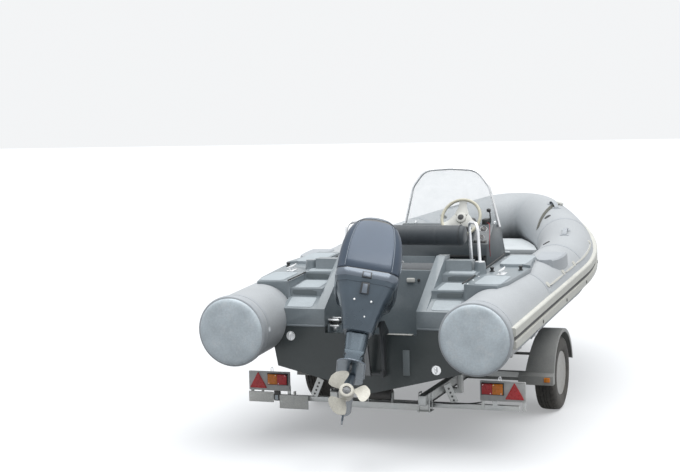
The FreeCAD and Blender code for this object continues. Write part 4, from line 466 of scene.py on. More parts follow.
def ring_into(form, profile, steps, matrix):
    """Turn a closed row of (radius, height) about local Z, for a ring that is open in the middle."""
    rings_mesh(form, [[matrix @ p for p in circle(r, steps, h)] for r, h in profile + profile[:1]], True,
               False)


def beveled(form, edges, width, segments, **options):
    return bmesh.ops.bevel(form, geom=edges, offset=width, segments=segments, profile=0.5, affect="EDGES",
                           clamp_overlap=True, **options)


def round_edges(form, limit, width, **options):
    """Round the edges at which faces meet at more than an angle in radians."""
    sharp = [e for e in form.edges if len(e.link_faces) == 2 and e.calc_face_angle(0) > limit]
    beveled(form, sharp, width, 2, **options)


def box_into(form, low, high, bevel=0.003, segments=2, matrix=None):
    """Box with rounded edges."""
    low, high = Vector(low), Vector(high)
    verts = bmesh.ops.create_cube(form, size=1)["verts"]
    size = high - low
    for v in verts:
        v.co = Vector(tuple((v.co[i] + 0.5) * size[i] + low[i] for i in range(3)))
    edges = list({e for v in verts for e in v.link_edges})
    if bevel:
        out = beveled(form, edges, min(bevel, min(size) * 0.45), segments)
        verts = list({v for f in out["faces"] for v in f.verts} | {v for v in verts if v.is_valid})
    if matrix is not None:
        for v in verts:
            v.co = matrix @ v.co


def boxes(name, pairs, paint, body=ROOT, bevel=0.003, matrix=None, slot=None, replaces=(), segments=2):
    """One piece from boxes, each given by its low and its high corner."""
    form = bmesh.new()
    for low, high in pairs:
        box_into(form, low, high, bevel, segments, matrix)
    return join(name, form, paint, body, slot, replaces)


def box(name, low, high, paint, **options):
    return boxes(name, [(low, high)], paint, **options)


def bars_round(low, high, width):
    """Corners of the four bars that frame a rectangle in X and Z."""
    (x0, y0, z0), (x1, y1, z1) = low, high
    return [((x0, y0, z0), (x1, y1, z0 + width)), ((x0, y0, z1 - width), (x1, y1, z1)),
            ((x0, y0, z0), (x0 + width, y1, z1)), ((x1 - width, y0, z0), (x1, y1, z1))]


def plate_into(form, outline, depth, bevel=0.0, segments=2, matrix=None):
    """Flat outline in local X and Y, thickened along local Z, with its rims rounded."""
    verts = [form.verts.new((x, y, 0)) for x, y in outline]
    face = form.faces.new(verts)
    out = bmesh.ops.extrude_face_region(form, geom=[face])
    top = [v for v in out["geom"] if isinstance(v, bmesh.types.BMVert)]
    for v in top:
        v.co.z += depth
    every = verts + top
    if bevel:
        edges = {e for v in every for e in v.link_edges}
        made = beveled(form, [e for e in edges if abs(e.verts[0].co.z - e.verts[1].co.z) < 1e-7], bevel,
                       segments)
        every = list({v for f in made["faces"] for v in f.verts} | {v for v in every if v.is_valid})
    if matrix is not None:
        for v in every:
            v.co = matrix @ v.co


def facing(place, normal, up=None):
    """Matrix at a place whose local Z looks along a normal."""
    normal = Vector(normal).normalized()
    up = Vector(up) if up else (Z if abs(normal.z) < 0.9 else Y)
    side = up.cross(normal).normalized()
    turn = Matrix((side, normal.cross(side), normal)).transposed().to_4x4()
    turn.translation = Vector(place)
    return turn


def bolts(name, places, radius, body=ROOT, kind="hex", slot=None):
    """Bright bolt heads with washers, or domed screws, at places with normals."""
    r = radius
    form = bmesh.new()
    for place, normal in places:
        at = facing(place, normal)
        if kind == "hex":
            lathe_into(form, [(r * 1.5, -0.001), (r * 1.5, r * 0.2), (r, r * 0.22)], 24, at)
            lathe_into(form, [(r, r * 0.2), (r, r * 0.8), (r * 0.85, r * 0.92), (0, r * 0.92)], 6, at)
        else:
            lathe_into(form, [(r, -0.001), (r, r * 0.15), (r * 0.75, r * 0.42), (r * 0.3, r * 0.5),
                              (r * 0.22, r * 0.3), (0, r * 0.3)], 16, at)
    return join(name, form, "stainless", body, slot)


SLOT_OF = {row["node"]: row["material_slot"] for row in frame["record"]["subparts"]}
for cad_name, cad_object in nodes.items():
    for material_slot in cad_object.material_slots:
        material_slot.material = M[SLOT_OF[cad_name]]


def soften(node_name, width, paint=None):
    """A CAD node's form with its edges rounded, in the node's place."""
    source, slot = nodes[node_name], SLOT_OF[node_name]
    form = bmesh.new()
    form.from_mesh(source.data)
    bmesh.ops.remove_doubles(form, verts=form.verts, dist=2e-5)
    bmesh.ops.dissolve_limit(form, angle_limit=math.radians(1.5), verts=form.verts, edges=form.edges,
                             delimit=set())
    round_edges(form, math.radians(28), width, loop_slide=True)
    bmesh.ops.triangulate(form, faces=[f for f in form.faces if len(f.verts) > 4])
    join(node_name + "_form", form, paint or slot, source["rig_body"], slot, (node_name,), 50)


def cast(node_name, voxel, rounds, paint=None):
    """A CAD node's form as a casting: remeshed finely and smoothed, so every edge and corner is rounded."""
    source, slot = nodes[node_name], SLOT_OF[node_name]
    name = node_name + "_form"
    rough = bpy.data.objects.new(name, source.data.copy())
    bpy.context.collection.objects.link(rough)
    remesh = rough.modifiers.new("remesh", "REMESH")
    remesh.mode = "VOXEL"
    remesh.voxel_size = voxel
    relax = rough.modifiers.new("relax", "SMOOTH")
    relax.factor = 0.5
    relax.iterations = rounds
    done = applied(rough)
    bpy.data.objects.remove(rough)
    for face in done.polygons:
        face.use_smooth = True
    place_piece(name, done, paint or slot, source["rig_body"], (node_name,))


# Edge radius of each CAD node that keeps its form
for name, width in (("pod_starboard", 0.024), ("pod_port", 0.024), ("transom_lip", 0.005),
                    ("well_bulkhead", 0.006), ("well_floor", 0.004), ("aft_bench", 0.010),
                    ("console", 0.020), ("bow_locker", 0.006), ("side_beams", 0.006),
                    ("cross_beams", 0.003), ("drawbar", 0.006), ("axle", 0.004), ("winch_post", 0.005),
                    ("lamp_bar", 0.003), ("bunk_brackets", 0.003), ("bunks", 0.008), ("jockey_post", 0.004),
                    ("jockey_fork", 0.002), ("coupling", 0.008), ("lamp_boards", 0.006),
                    ("mudguards", 0.004), ("blank_plates", 0.001)):
    soften(name, width)
soften("bow_lid", 0.010, "lid_gelcoat")


# Tube centre line, as in the solids: a straight run, a long curve and a tight one to the stem
TUBE = 0.260
TUBE_AFT = Vector((0.949, -0.450, 0.521))
LONG_RADIUS = 4.830
NOSE_RADIUS = 0.302
ROLL = math.radians(9.3)
AHEAD = Vector((0, math.cos(SHEER), math.sin(SHEER)))
INWARD = Vector((-math.cos(ROLL), -math.sin(SHEER) * math.sin(ROLL), math.cos(SHEER) * math.sin(ROLL)))
STRAIGHT = 2.550 / math.cos(SHEER)
CURVE_CENTRE = TUBE_AFT + AHEAD * STRAIGHT + INWARD * LONG_RADIUS
CURVE_AXIS = AHEAD.cross(INWARD)


def nose_turn_at(turn):
    return (AHEAD * math.cos(turn) + INWARD * math.sin(turn)).angle(-X)


def long_turn():
    """How far the long curve turns before the tight one can reach the stem."""
    low, high = 0, math.pi / 2
    for _ in range(60):
        turn = (low + high) / 2
        reach = LONG_RADIUS * (math.cos(turn) - 1) * math.cos(ROLL) + TUBE_AFT.x
        low, high = (turn, high) if reach > NOSE_RADIUS * math.sin(nose_turn_at(turn)) else (low, turn)
    return turn


LONG_TURN = long_turn()
HEADING = AHEAD * math.cos(LONG_TURN) + INWARD * math.sin(LONG_TURN)
NOSE_TURN = HEADING.angle(-X)
SHOULDER = CURVE_CENTRE + (AHEAD * math.sin(LONG_TURN) - INWARD * math.cos(LONG_TURN)) * LONG_RADIUS
NOSE_INWARD = (-X - HEADING * math.cos(NOSE_TURN)).normalized()
NOSE_CENTRE = SHOULDER + NOSE_INWARD * NOSE_RADIUS
TUBE_LENGTH = STRAIGHT + LONG_RADIUS * LONG_TURN + NOSE_RADIUS * NOSE_TURN


def turned_about(point, angle, axis):
    return Matrix.Translation(point) @ Matrix.Rotation(angle, 4, axis) @ Matrix.Translation(-point)


def tube_frame(along, side=1):
    """Matrix at a length along the tube's centre line: local X outboard, Y ahead, Z up across it."""
    run = min(along, STRAIGHT)
    base = Matrix((X, AHEAD, X.cross(AHEAD))).transposed().to_4x4()
    base.translation = TUBE_AFT + AHEAD * run
    if along > STRAIGHT:
        turn = min((along - STRAIGHT) / LONG_RADIUS, LONG_TURN)
        base = turned_about(CURVE_CENTRE, turn, CURVE_AXIS) @ base
    rest = along - STRAIGHT - LONG_RADIUS * LONG_TURN
    if rest > 0:
        base = turned_about(NOSE_CENTRE, rest / NOSE_RADIUS, HEADING.cross(NOSE_INWARD)) @ base
    base = Matrix.Translation(BOAT) @ base
    return Matrix.Scale(-1, 4, X) @ base if side < 0 else base


def on_tube(along, angle, lift=0.0, side=1):
    """Point over the tube's skin at an angle in degrees from outboard towards the top."""
    turn = math.radians(angle)
    reach = TUBE + lift
    return tube_frame(along, side) @ Vector((reach * math.cos(turn), 0, reach * math.sin(turn)))


def skin_patch(form, along, angles, lift=0.003, side=1, steps=(10, 8), outline=None):
    """A patch glued on a tube between two lengths and two angles; an outline trims its width."""
    (start, end), (low, high) = along, angles
    rows = []
    for i in range(steps[0] + 1):
        share = i / steps[0]
        middle, half = (low + high) / 2, (high - low) / 2 * (outline(share) if outline else 1)
        place = start + (end - start) * share
        outer = [on_tube(place, middle - half + 2 * half * k / steps[1], lift, side)
                 for k in range(steps[1] + 1)]
        inner = [on_tube(place, middle - half + 2 * half * k / steps[1], -0.004, side)
                 for k in reversed(range(steps[1] + 1))]
        rows.append(outer + inner)
    rings_mesh(form, rows)


def round_ends(share):
    """Half width of a patch with round ends."""
    return max(0.12, math.sqrt(max(0.0, 1 - abs(2 * share - 1) ** 3.2)))


def tube_details():
    """Seam tapes round each tube, and all that is glued or moulded on it."""
    for side, word in SIDES:
        form = bmesh.new()
        for place, width in ((0.10, 0.035), (1.30, 0.04), (2.62, 0.05), (4.0, 0.05)):
            skin_patch(form, (place, place + width), (-180, 180), 0.0016, side, (2, 72))
        join(f"seam_tapes_{word}", form, "tape_fabric", slot="tube_fabric")
        wear_strip(word, side)
        groove_line(word, side)
        end_cap(word, side)
        step_pad(word, side)
        skin_fittings(word, side)


def wear_strip(word, side):
    """Strip outboard of the tube's top, with a raised light edge and pale patches along it."""
    form = bmesh.new()
    skin_patch(form, (1.36, 3.40), (11, 29), 0.0035, side, (60, 8),
               lambda share: min(1, 0.25 + 12 * min(share, 1 - share)))
    join(f"wear_strip_{word}", form, "tape_fabric", slot="tube_fabric")
    form = bmesh.new()
    for start, end in ((1.41, 1.90), (1.99, 2.34), (2.39, 3.38)):
        skin_patch(form, (start, end), (28.6, 32.0), 0.0085, side, (30, 4), round_ends)
    for place, angle in ((1.38, 34), (1.945, 33), (2.365, 33), (3.40, 33)):
        skin_patch(form, (place - 0.035, place + 0.035), (angle - 5, angle + 5), 0.006, side, (8, 6),
                   round_ends)
    join(f"strip_edge_{word}", form, "strake_rubber")


def groove_line(word, side):
    """Dark line along the bottom of the strake's groove, and the black plugs of its lower band."""
    form = bmesh.new()
    reach = TUBE + 0.0122
    start, count = 0.058, 150
    section = ((reach, -0.0125), (reach + 0.0045, -0.010), (reach + 0.0045, 0.010), (reach, 0.0125))
    places = [tube_frame(start + (TUBE_LENGTH - start) * i / count, side) for i in range(count + 1)]
    rings_mesh(form, [[at @ Vector((x, 0, z)) for x, z in section] for at in places])
    join(f"groove_line_{word}", form, "dark_rubber", slot="strake_rubber")
    form = bmesh.new()
    plug = [(0.014, -0.002), (0.014, 0.002), (0.010, 0.0035), (0.0045, 0.0035), (0.003, 0.0015), (0, 0.0015)]
    for place in (0.9, 1.75, 2.55, 3.45, 4.35):
        at = tube_frame(place, side) @ Matrix.Translation((TUBE + 0.026, 0, -0.049)) @ Z_TO_X
        lathe_into(form, plug, 20, at)
    join(f"strake_plugs_{word}", form, "dark_rubber", slot="strake_rubber")


def end_cap(word, side):
    """Collar lapped over the tube with a rounded rim, and the moulded face inside it."""
    at = tube_frame(0, side) @ Z_TO_BACK
    # Height over the tube's skin, and length out of its end
    collar = ((0.0006, -0.054), (0.006, -0.055), (0.0105, -0.050), (0.0118, -0.030), (0.0118, -0.004),
              (0.010, 0.004), (0.006, 0.0085), (-0.001, 0.0110), (-0.008, 0.0115), (-0.0105, 0.0090),
              (-0.0105, 0.004), (0.0006, 0.002))
    form = bmesh.new()
    ring_into(form, [(TUBE + lift, out) for lift, out in collar], 96, at)
    join(f"cap_collar_{word}", form, "tape_fabric", slot="cap_rubber", replaces=("end_caps",))
    face = [(TUBE - 0.004, 0.002), (TUBE - 0.004, 0.0110), (TUBE - 0.009, 0.0190), (TUBE - 0.020, 0.0262),
            (TUBE - 0.036, 0.0305), (TUBE - 0.06, 0.0330), (0.18, 0.0345), (0.12, 0.0362), (0.06, 0.0372),
            (0, 0.0375)]
    form = bmesh.new()
    lathe_into(form, face, 96, at)
    # The face carries the shallow dents of a part that lay pressed against others
    for vert in form.verts:
        local = at.inverted() @ vert.co
        if local.z > 0.018:
            wave = math.sin(local.x * 23 + 1.3) * math.sin(local.y * 19 + 0.4)
            wave += 0.5 * math.sin(local.x * 41) * math.cos(local.y * 37)
            vert.co = at @ (local + Vector((0, 0, 0.0016 * wave)))
    join(f"cap_face_{word}", form, "cap_rubber", replaces=("end_caps",))


def step_pad(word, side):
    """Wedge glued on the tube's top, flat for a foot, with a rounded inner end."""
    top = TUBE + 0.012
    # Place along the tube, inner and outer edge, and height over the pad's level
    stations = ((1.80, 0.05, 0.11, -0.004), (1.815, 0.03, 0.16, 0.0), (1.90, 0.0, 0.195, 0.0),
                (2.02, -0.015, 0.205, 0.0), (2.14, -0.015, 0.205, 0.0), (2.20, -0.010, 0.200, 0.0),
                (2.212, -0.005, 0.195, -0.006))
    rows = []
    for place, inner, outer, lift in stations:
        at = tube_frame(place, side)
        low_in, low_out = [math.sqrt(TUBE ** 2 - edge ** 2) - 0.004 for edge in (inner, outer)]
        level = top + lift
        ring = ((inner, low_in), (inner, level - 0.008), (inner + 0.008, level),
                (outer - 0.012, level - 0.002), (outer, level - 0.014), (outer + 0.004, low_out))
        rows.append([at @ Vector((x, 0, z)) for x, z in ring])
    form = bmesh.new()
    rings_mesh(form, rows)
    round_edges(form, 0.6, 0.004)
    join(f"step_pad_{word}", form, "tape_fabric", slot="tube_fabric")


def skin_facing(place, angle, side=1):
    """Matrix on the tube's skin whose local Z looks straight out of it."""
    spot = on_tube(place, angle, 0, side)
    return facing(spot, on_tube(place, angle, 1, side) - spot)


def skin_fittings(word, side):
    """Inflation valves, towing rings on round patches, and grab handles on the tube."""
    valves, form, metal = bmesh.new(), bmesh.new(), bmesh.new()
    for place, angle in ((0.62, 150), (2.9, 118), (4.3, 118)):
        lathe_into(valves, [(0.034, -0.004), (0.034, 0.003), (0.028, 0.006), (0.018, 0.006), (0.016, 0.003),
                            (0, 0.003)], 32, skin_facing(place, angle, side))
    for place in (0.9, 3.75):
        at = skin_facing(place, -32, side)
        lathe_into(form, [(0.060, -0.006), (0.060, 0.002), (0.052, 0.004), (0, 0.0045)], 40, at)
        angles = [math.tau * k / 24 for k in range(25)]
        ring = [at @ Vector((0.026 * math.cos(a), 0.004 + 0.026 * math.sin(a) * 1.1, 0.012)) for a in angles]
        pipe_into(metal, ring, 0.0032, 10)
        box_into(form, (-0.022, 0.012, 0.002), (0.022, 0.030, 0.016), 0.004, 2, at)
    for place in (3.15, 4.55):
        rows = []
        up = (on_tube(place, 88, 1, side) - on_tube(place, 88, 0, side)).normalized() * 0.006
        for share in [k / 20 for k in range(21)]:
            lift = 0.004 + 0.034 * math.sin(math.pi * share) ** 0.6
            low, high = [on_tube(place + 0.26 * share, angle, lift, side) for angle in (84, 92)]
            rows.append([low, high, high + up, low + up])
        rings_mesh(form, rows)
        for end in (place - 0.03, place + 0.20):
            skin_patch(form, (end, end + 0.09), (79, 97), 0.0045, side, (8, 6), round_ends)
    join(f"tube_patches_{word}", form, "tape_fabric", slot="tube_fabric")
    join(f"tube_valves_{word}", valves, "black_moulding")
    join(f"tube_rings_{word}", metal, "stainless")


def bow_strap():
    """Webbing strap over the bow tube, with a pale moulded fitting at its outer end."""
    rows = []
    for share in [k / 24 for k in range(25)]:
        place = 4.25 + 0.55 * share
        angle = 150 - 78 * share
        at = on_tube(place, angle, 0.002)
        ahead = (on_tube(place + 0.01, angle - 1.4, 0.002) - at).normalized()
        out = (on_tube(place, angle, 1) - on_tube(place, angle, 0)).normalized()
        wide = ahead.cross(out).normalized() * 0.026
        rows.append([at - wide, at + wide, at + wide + out * 0.003, at - wide + out * 0.003])
    form = bmesh.new()
    rings_mesh(form, rows)
    join("bow_strap", form, "olive_webbing", slot="strap_webbing")
    form = bmesh.new()
    at = skin_facing(4.80, 72)
    box_into(form, (-0.045, -0.036, -0.004), (0.045, 0.036, 0.026), 0.010, 3, at)
    box_into(form, (-0.014, -0.050, 0.0), (0.014, 0.050, 0.012), 0.004, 2, at)
    join("bow_strap_fitting", form, "helm_white", slot="strake_rubber")


tube_details()
bow_strap()


# Outboard, in its own upright axes from the tilt axis

def cowl_ring(z, half, face, back, front, chamfer, crown=0.0):
    """Section of the cowl: flat rear face rounded into the flanks, round front, arched by its crown."""
    side = [(0, back - 0.001), (face * 0.5, back - 0.001), (face - 0.018, back),
            (face - 0.006, back + 0.0015), (face + 0.004, back + 0.007)]
    # Share of the way from the rear face's edge to the flank, and share of the chamfer's length
    side += [(face + (half - face) * out, back + chamfer * along)
             for out, along in ((0.45, 0.3025), (0.86, 0.5775))]
    side += [(half - 0.002, back + chamfer * 0.935), (half, back + chamfer * 1.43),
             (half + 0.001, (back + front) / 2)]
    side += [(half - inset, front - short)
             for inset, short in ((0.004, 0.20), (0.016, 0.12), (0.050, 0.055), (0.105, 0.014))]
    side += [(half * 0.28, front), (0, front + 0.001)]
    points = [(max(x, 0), y, z - crown * (max(x, 0) / half) ** 2) for x, y in side]
    return points + [(-x, y, h) for x, y, h in reversed(points[1:-1])]


# Height, half width, rear face's half width, back, front, chamfer, crown
COWL_LEVELS = ((0.200, 0.2290, 0.168, -0.5640, 0.064, 0.07, 0),
               (0.206, 0.2335, 0.172, -0.5685, 0.068, 0.07, 0),
               (0.260, 0.2345, 0.172, -0.5700, 0.068, 0.07, 0),
               (0.340, 0.2320, 0.169, -0.5690, 0.062, 0.07, 0.002),
               (0.420, 0.2250, 0.163, -0.5640, 0.050, 0.07, 0.006),
               (0.490, 0.2130, 0.153, -0.5560, 0.032, 0.068, 0.012),
               (0.545, 0.1980, 0.142, -0.5460, 0.008, 0.064, 0.020),
               (0.590, 0.1800, 0.129, -0.5340, -0.022, 0.058, 0.028),
               (0.612, 0.1690, 0.121, -0.5260, -0.040, 0.054, 0.032))
BAND_LEVELS = ((0.610, 0.1660, 0.119, -0.5235, -0.042, 0.054, 0.032),
               (0.636, 0.1530, 0.110, -0.5120, -0.066, 0.050, 0.035))
CAP_LEVELS = ((0.634, 0.1560, 0.112, -0.5150, -0.062, 0.050, 0.035),
              (0.645, 0.1500, 0.107, -0.5090, -0.072, 0.048, 0.035),
              (0.656, 0.1370, 0.097, -0.4930, -0.092, 0.044, 0.031),
              (0.665, 0.1160, 0.081, -0.4680, -0.122, 0.038, 0.024),
              (0.670, 0.0900, 0.062, -0.4350, -0.158, 0.030, 0.015),
              (0.6722, 0.0450, 0.030, -0.3700, -0.220, 0.015, 0.004))


def cowl_half(z):
    """Half width of the shell at a height."""
    for low, high in zip(COWL_LEVELS[1:], COWL_LEVELS[2:]):
        if low[0] <= z <= high[0]:
            return low[1] + (high[1] - low[1]) * (z - low[0]) / (high[0] - low[0])


def upper_cowl():
    """Shell, black band and cap, with pale strips of painted highlight along both creases of the rear face.
    """
    for name, levels, paint in (("cowl_shell", COWL_LEVELS, "cowl_paint"),
                                ("cowl_band_black", BAND_LEVELS, "cowl_black"),
                                ("cowl_cap", CAP_LEVELS, "cowl_silver_and_painted_highlight")):
        ring_between(levels, name, paint, "cowl_paint", ("upper_cowl",))
    # Painted highlights: pale strips along both creases of the rear face
    form = bmesh.new()
    for side in (-1, 1):
        line = [(side * (face + 0.001), back + 0.004, z - crown * (face / half) ** 2)
                for z, half, face, back, front, chamfer, crown in COWL_LEVELS[1:]]
        pipe_into(form, [STEERED @ Vector(p) for p in smooth_line(line, 4)], 0.0035, 10)
    join("cowl_crease_highlights", form, "cowl_silver_and_painted_highlight", "steered", "cowl_paint")
    for side, word in ((1, "right"), (-1, "left")):
        cowl_flank(word, side)


def cowl_flank(word, side):
    """Recessed panel on the shell's flank, between two raised rims."""
    rows = []
    for share in [k / 12 for k in range(13)]:
        z = 0.285 + 0.245 * share
        back, front = -0.395 + 0.03 * share, -0.130 - 0.05 * share
        reach = cowl_half(z) + 0.0022
        section = ((reach - 0.008, back), (reach, back + 0.006), (reach - 0.0015, (back + front) / 2),
                   (reach - 0.002, front - 0.006), (reach - 0.012, front))
        rows.append([STEERED @ Vector((side * x, y, z)) for x, y in section])
    form = bmesh.new()
    rings_mesh(form, rows)
    join(f"cowl_flank_{word}", form, "cowl_black", "steered", "cowl_paint")
    form = bmesh.new()
    for rim in (0, 4):
        pipe_into(form, [row[rim] + STEERED.to_3x3() @ (X * side * 0.007) for row in rows], 0.0035, 8)
    join(f"cowl_flank_rims_{word}", form, "cowl_silver_and_painted_highlight", "steered", "cowl_paint")


def ring_between(levels, name, paint, slot="engine_paint", replaces=("lower_cowl",)):
    """A closed form from the cowl's sections at several levels."""
    form = bmesh.new()
    rings_mesh(form, [cowl_ring(*level) for level in levels])
    form.transform(STEERED)
    join(name, form, paint, "steered", slot, replaces, 42)


# Name, paint, and sections by height, half width, rear face's half width, back, front and chamfer
LOWER_COWL = (("cowl_gasket", "cowl_black", ((0.1895, 0.2270, 0.166, -0.5610, 0.062, 0.07),
                                             (0.2005, 0.2270, 0.166, -0.5610, 0.062, 0.07))),
              ("tray_lip", "cowl_silver_and_painted_highlight", ((0.132, 0.2270, 0.164, -0.5620, 0.064, 0.07),
                                           (0.150, 0.2345, 0.172, -0.5705, 0.070, 0.07),
                                           (0.182, 0.2345, 0.172, -0.5705, 0.070, 0.07),
                                           (0.192, 0.2300, 0.168, -0.5660, 0.066, 0.07))),
              ("tray_belly", "engine_paint", ((0.098, 0.2160, 0.150, -0.5500, 0.054, 0.07),
                                              (0.106, 0.2200, 0.154, -0.5560, 0.058, 0.07),
                                              (0.140, 0.2270, 0.163, -0.5620, 0.064, 0.07))),
              ("apron", "engine_paint", ((-0.235, 0.1080, 0.070, -0.4450, -0.197, 0.040),
                                         (-0.228, 0.1110, 0.072, -0.4480, -0.197, 0.041),
                                         (-0.120, 0.1360, 0.090, -0.4760, -0.196, 0.050),
                                         (-0.010, 0.1700, 0.115, -0.5100, -0.196, 0.060),
                                         (0.060, 0.1990, 0.136, -0.5340, -0.150, 0.068),
                                         (0.100, 0.2120, 0.146, -0.5460, -0.100, 0.070))))


def lower_cowl():
    """Seam gasket, the tray's bright lip and darker belly, and the apron round the leg."""
    for name, paint, levels in LOWER_COWL:
        ring_between(levels, name, paint)


def latch_and_handle():
    """The latch in its recess, the handle's tab in the apron, and the cowl's screws."""
    engine = dict(body="steered", slot="engine_paint")
    box("latch_recess", (-0.036, -0.5745, 0.128), (0.036, -0.560, 0.176), "cowl_black", bevel=0.004,
        matrix=STEERED, **engine)
    box("latch_lever", (-0.029, -0.579, 0.134), (0.029, -0.566, 0.170), "cowl_silver_and_painted_highlight", bevel=0.005,
        matrix=STEERED, segments=3, **engine)
    at = STEERED @ facing((0, -0.540, 0.012), (0, -1, -0.30))
    # Name, paint, half width at the foot and the head, their heights, depth and edge radius
    forms = (("handle_recess", "cowl_black", 0.034, 0.030, 0, 0.085, 0.012, 0.004),
             ("handle_tab", "cowl_silver_and_painted_highlight", 0.020, 0.018, 0.004, 0.074, 0.016, 0.005))
    for name, paint, foot, head, low, high, depth, bevel in forms:
        form = bmesh.new()
        plate_into(form, [(-foot, low), (foot, low), (head, high), (-head, high)], depth, bevel, 2, at)
        join(name, form, paint, **engine)
    places = ((0.062, -0.5165, -0.03), (-0.062, -0.5165, -0.03), (0.03, -0.470, -0.135))
    out = STEERED.to_3x3() @ Vector((0, -1, -0.25))
    bolts("cowl_screws", [(STEERED @ Vector(place), out) for place in places], 0.008, kind="dome", **engine)


def leg_and_gearcase():
    """Midsection and gearcase as castings, the collar at the leg's foot, both leg pieces in a lighter paint
    that holds painted highlight, and a pale strip of painted highlight along the rim of its plate.
    """
    cast("midsection", 0.006, 5, "leg_metal_with_painted_highlight")
    cast("gearcase", 0.004, 3)
    form = bmesh.new()
    rows = []
    # Half width, back and height
    for w, b, h in ((0.030, -0.374, -0.505), (0.034, -0.378, -0.497), (0.050, -0.385, -0.415),
                    (0.066, -0.392, -0.395), (0.070, -0.394, -0.375), (0.066, -0.390, -0.370)):
        starboard = [(w, b), (w + 0.006, b + 0.05), (w + 0.006, -0.24), (w, -0.20)]
        rows.append([(x, y, h) for x, y in [(-w, b)] + starboard
                     + [(-x, y) for x, y in reversed(starboard[1:])]])
    rings_mesh(form, rows)
    form.transform(STEERED)
    round_edges(form, 0.5, 0.005)
    join("leg_collar", form, "leg_metal_with_painted_highlight", "steered", "engine_paint")
    # Painted highlight: a pale strip along the plate's aft rim
    form = bmesh.new()
    level = -0.536
    angles = [math.pi * (k - 12) / 24 for k in range(25)]
    edge = [(0.10 * math.sin(a), -0.55 - 0.075 * math.cos(a), level) for a in angles]
    line = [STEERED @ Vector(p) for p in [(-0.101, -0.28, level)] + edge + [(0.101, -0.28, level)]]
    pipe_into(form, line, 0.0055, 10)
    join("plate_rim_highlight", form, "cowl_silver_and_painted_highlight", "steered", "engine_paint")
    # Trim tab, and the ribs of the water inlets on both flanks
    form = bmesh.new()
    box_into(form, (-0.008, -0.585, -0.600), (0.008, -0.515, -0.545), 0.004, 2, STEERED)
    for x in (-0.036, 0.036):
        for y in [-0.285 + 0.014 * k for k in range(5)]:
            box_into(form, (x - 0.006, y, -0.690), (x + 0.006, y + 0.006, -0.640), 0.001, 1, STEERED)
    join("trim_tab", form, "clamp_paint", "steered", "engine_paint")


def blade_into(form, start):
    """One ear-shaped blade, twisted along its length, that starts at an angle round the hub."""
    root, tip = 0.048, 0.1685
    radial, across = 14, 10
    rows = []
    for share in [i / radial for i in range(radial + 1)]:
        r = root + (tip - root) * share
        lead = math.radians(-17 - 5 * math.sin(math.pi * share))
        lobe = math.sin(math.pi * min(1, share ** 0.85) * 0.93) ** 0.75
        trail = math.radians(2 + 60 * lobe * (0.45 + 0.55 * share))
        if share > 0.82:
            close = (share - 0.82) / 0.18
            lead += (trail - lead) * 0.42 * close ** 2
            trail -= (trail - lead) * 0.35 * close ** 2
        pitch = math.tan(math.radians(38 - 16 * share))
        upper, lower = [], []
        for c in [k / across for k in range(across + 1)]:
            turn = lead + (trail - lead) * c
            y = -(turn - math.radians(8)) * r * pitch + 0.010 * share
            thick = (0.0075 - 0.0045 * share) * math.sqrt(max(0.02, math.sin(math.pi * c))) + 0.0012
            angle = math.radians(start) + turn
            point = Vector((r * math.sin(angle), y, r * math.cos(angle)))
            upper.append(point + Y * thick / 2)
            lower.append(point - Y * thick / 2)
        rows.append(upper + lower[::-1])
    rings_mesh(form, rows)


def propeller():
    """Three blades on a ringed hub, with a splined nut inside."""
    at = STEERED @ Matrix.Translation((0, -0.520, -0.745))
    turn = Matrix.Rotation(math.radians(-90), 4, "X")
    form = bmesh.new()
    for start in (-48, 72, 192):
        blade_into(form, start)
    hub = [(0.030, -0.049), (0.044, -0.050), (0.050, -0.048), (0.0535, -0.040), (0.054, 0.0),
           (0.054, 0.044), (0.050, 0.0495), (0.030, 0.050), (0.030, 0.03), (0.040, 0.028), (0.040, -0.030),
           (0.030, -0.032)]
    ring_into(form, hub, 48, turn)
    form.transform(at)
    join("propeller_blades", form, "propeller_paint", "propeller", replaces=("propeller",), sharp=50)
    form = bmesh.new()
    ridges, groove = 24, 0.003
    core = []
    for radius, height in ((0.0295, -0.030), (0.0295, -0.044), (0.026, -0.046)):
        crests = circle(radius, 2 * ridges, height)[::2]
        troughs = circle(radius - groove, 2 * ridges, height)[1::2]
        core.append([turn @ p for pair in zip(crests, troughs) for p in pair])
    rings_mesh(form, core)
    lathe_into(form, [(0.020, -0.044), (0.020, -0.052), (0.017, -0.054), (0.009, -0.054), (0.009, -0.060),
                      (0, -0.060)], 6, turn)
    for k in range(5):
        spoke = Matrix.Rotation(math.tau * k / 5, 4, "Y")
        box_into(form, (-0.0035, -0.0455, 0.020), (0.0035, -0.030, 0.042), 0.001, 1, spoke)
    form.transform(at)
    join("propeller_nut", form, "ram_steel", "propeller", replaces=("propeller",))


upper_cowl()
lower_cowl()
latch_and_handle()
leg_and_gearcase()
propeller()
soften("clamp_bracket", 0.005)
soften("swivel_bracket", 0.004)


# Padded covers
CLOTH_FRAMES = 20
PAD_PRESSURE = 3.5


def swell(item, cap, pressure):
    """Blow the object's form up a little by Cloth, with the movement of each point capped."""
    remesh = item.modifiers.new("remesh", "REMESH")
    remesh.mode = "VOXEL"
    remesh.voxel_size = 0.006
    item.data = applied(item)
    start = [v.co.copy() for v in item.data.vertices]
    cloth = item.modifiers.new("cloth", "CLOTH")
    cloth.settings.use_pressure = True
    cloth.settings.uniform_pressure_force = pressure
    cloth.settings.effector_weights.gravity = 0
    cloth.settings.quality = 4
    cloth.point_cache.frame_start = 1
    cloth.point_cache.frame_end = CLOTH_FRAMES
    for step in range(1, CLOTH_FRAMES + 1):
        bpy.context.scene.frame_set(step)
    item.data = applied(item)
    bpy.context.scene.frame_set(1)
    for vert, first in zip(item.data.vertices, start):
        moved = vert.co - first
        if moved.length > cap:
            vert.co = first + moved * (cap / moved.length)
    relax = item.modifiers.new("relax", "SMOOTH")
    relax.iterations = 3
    item.data = applied(item)


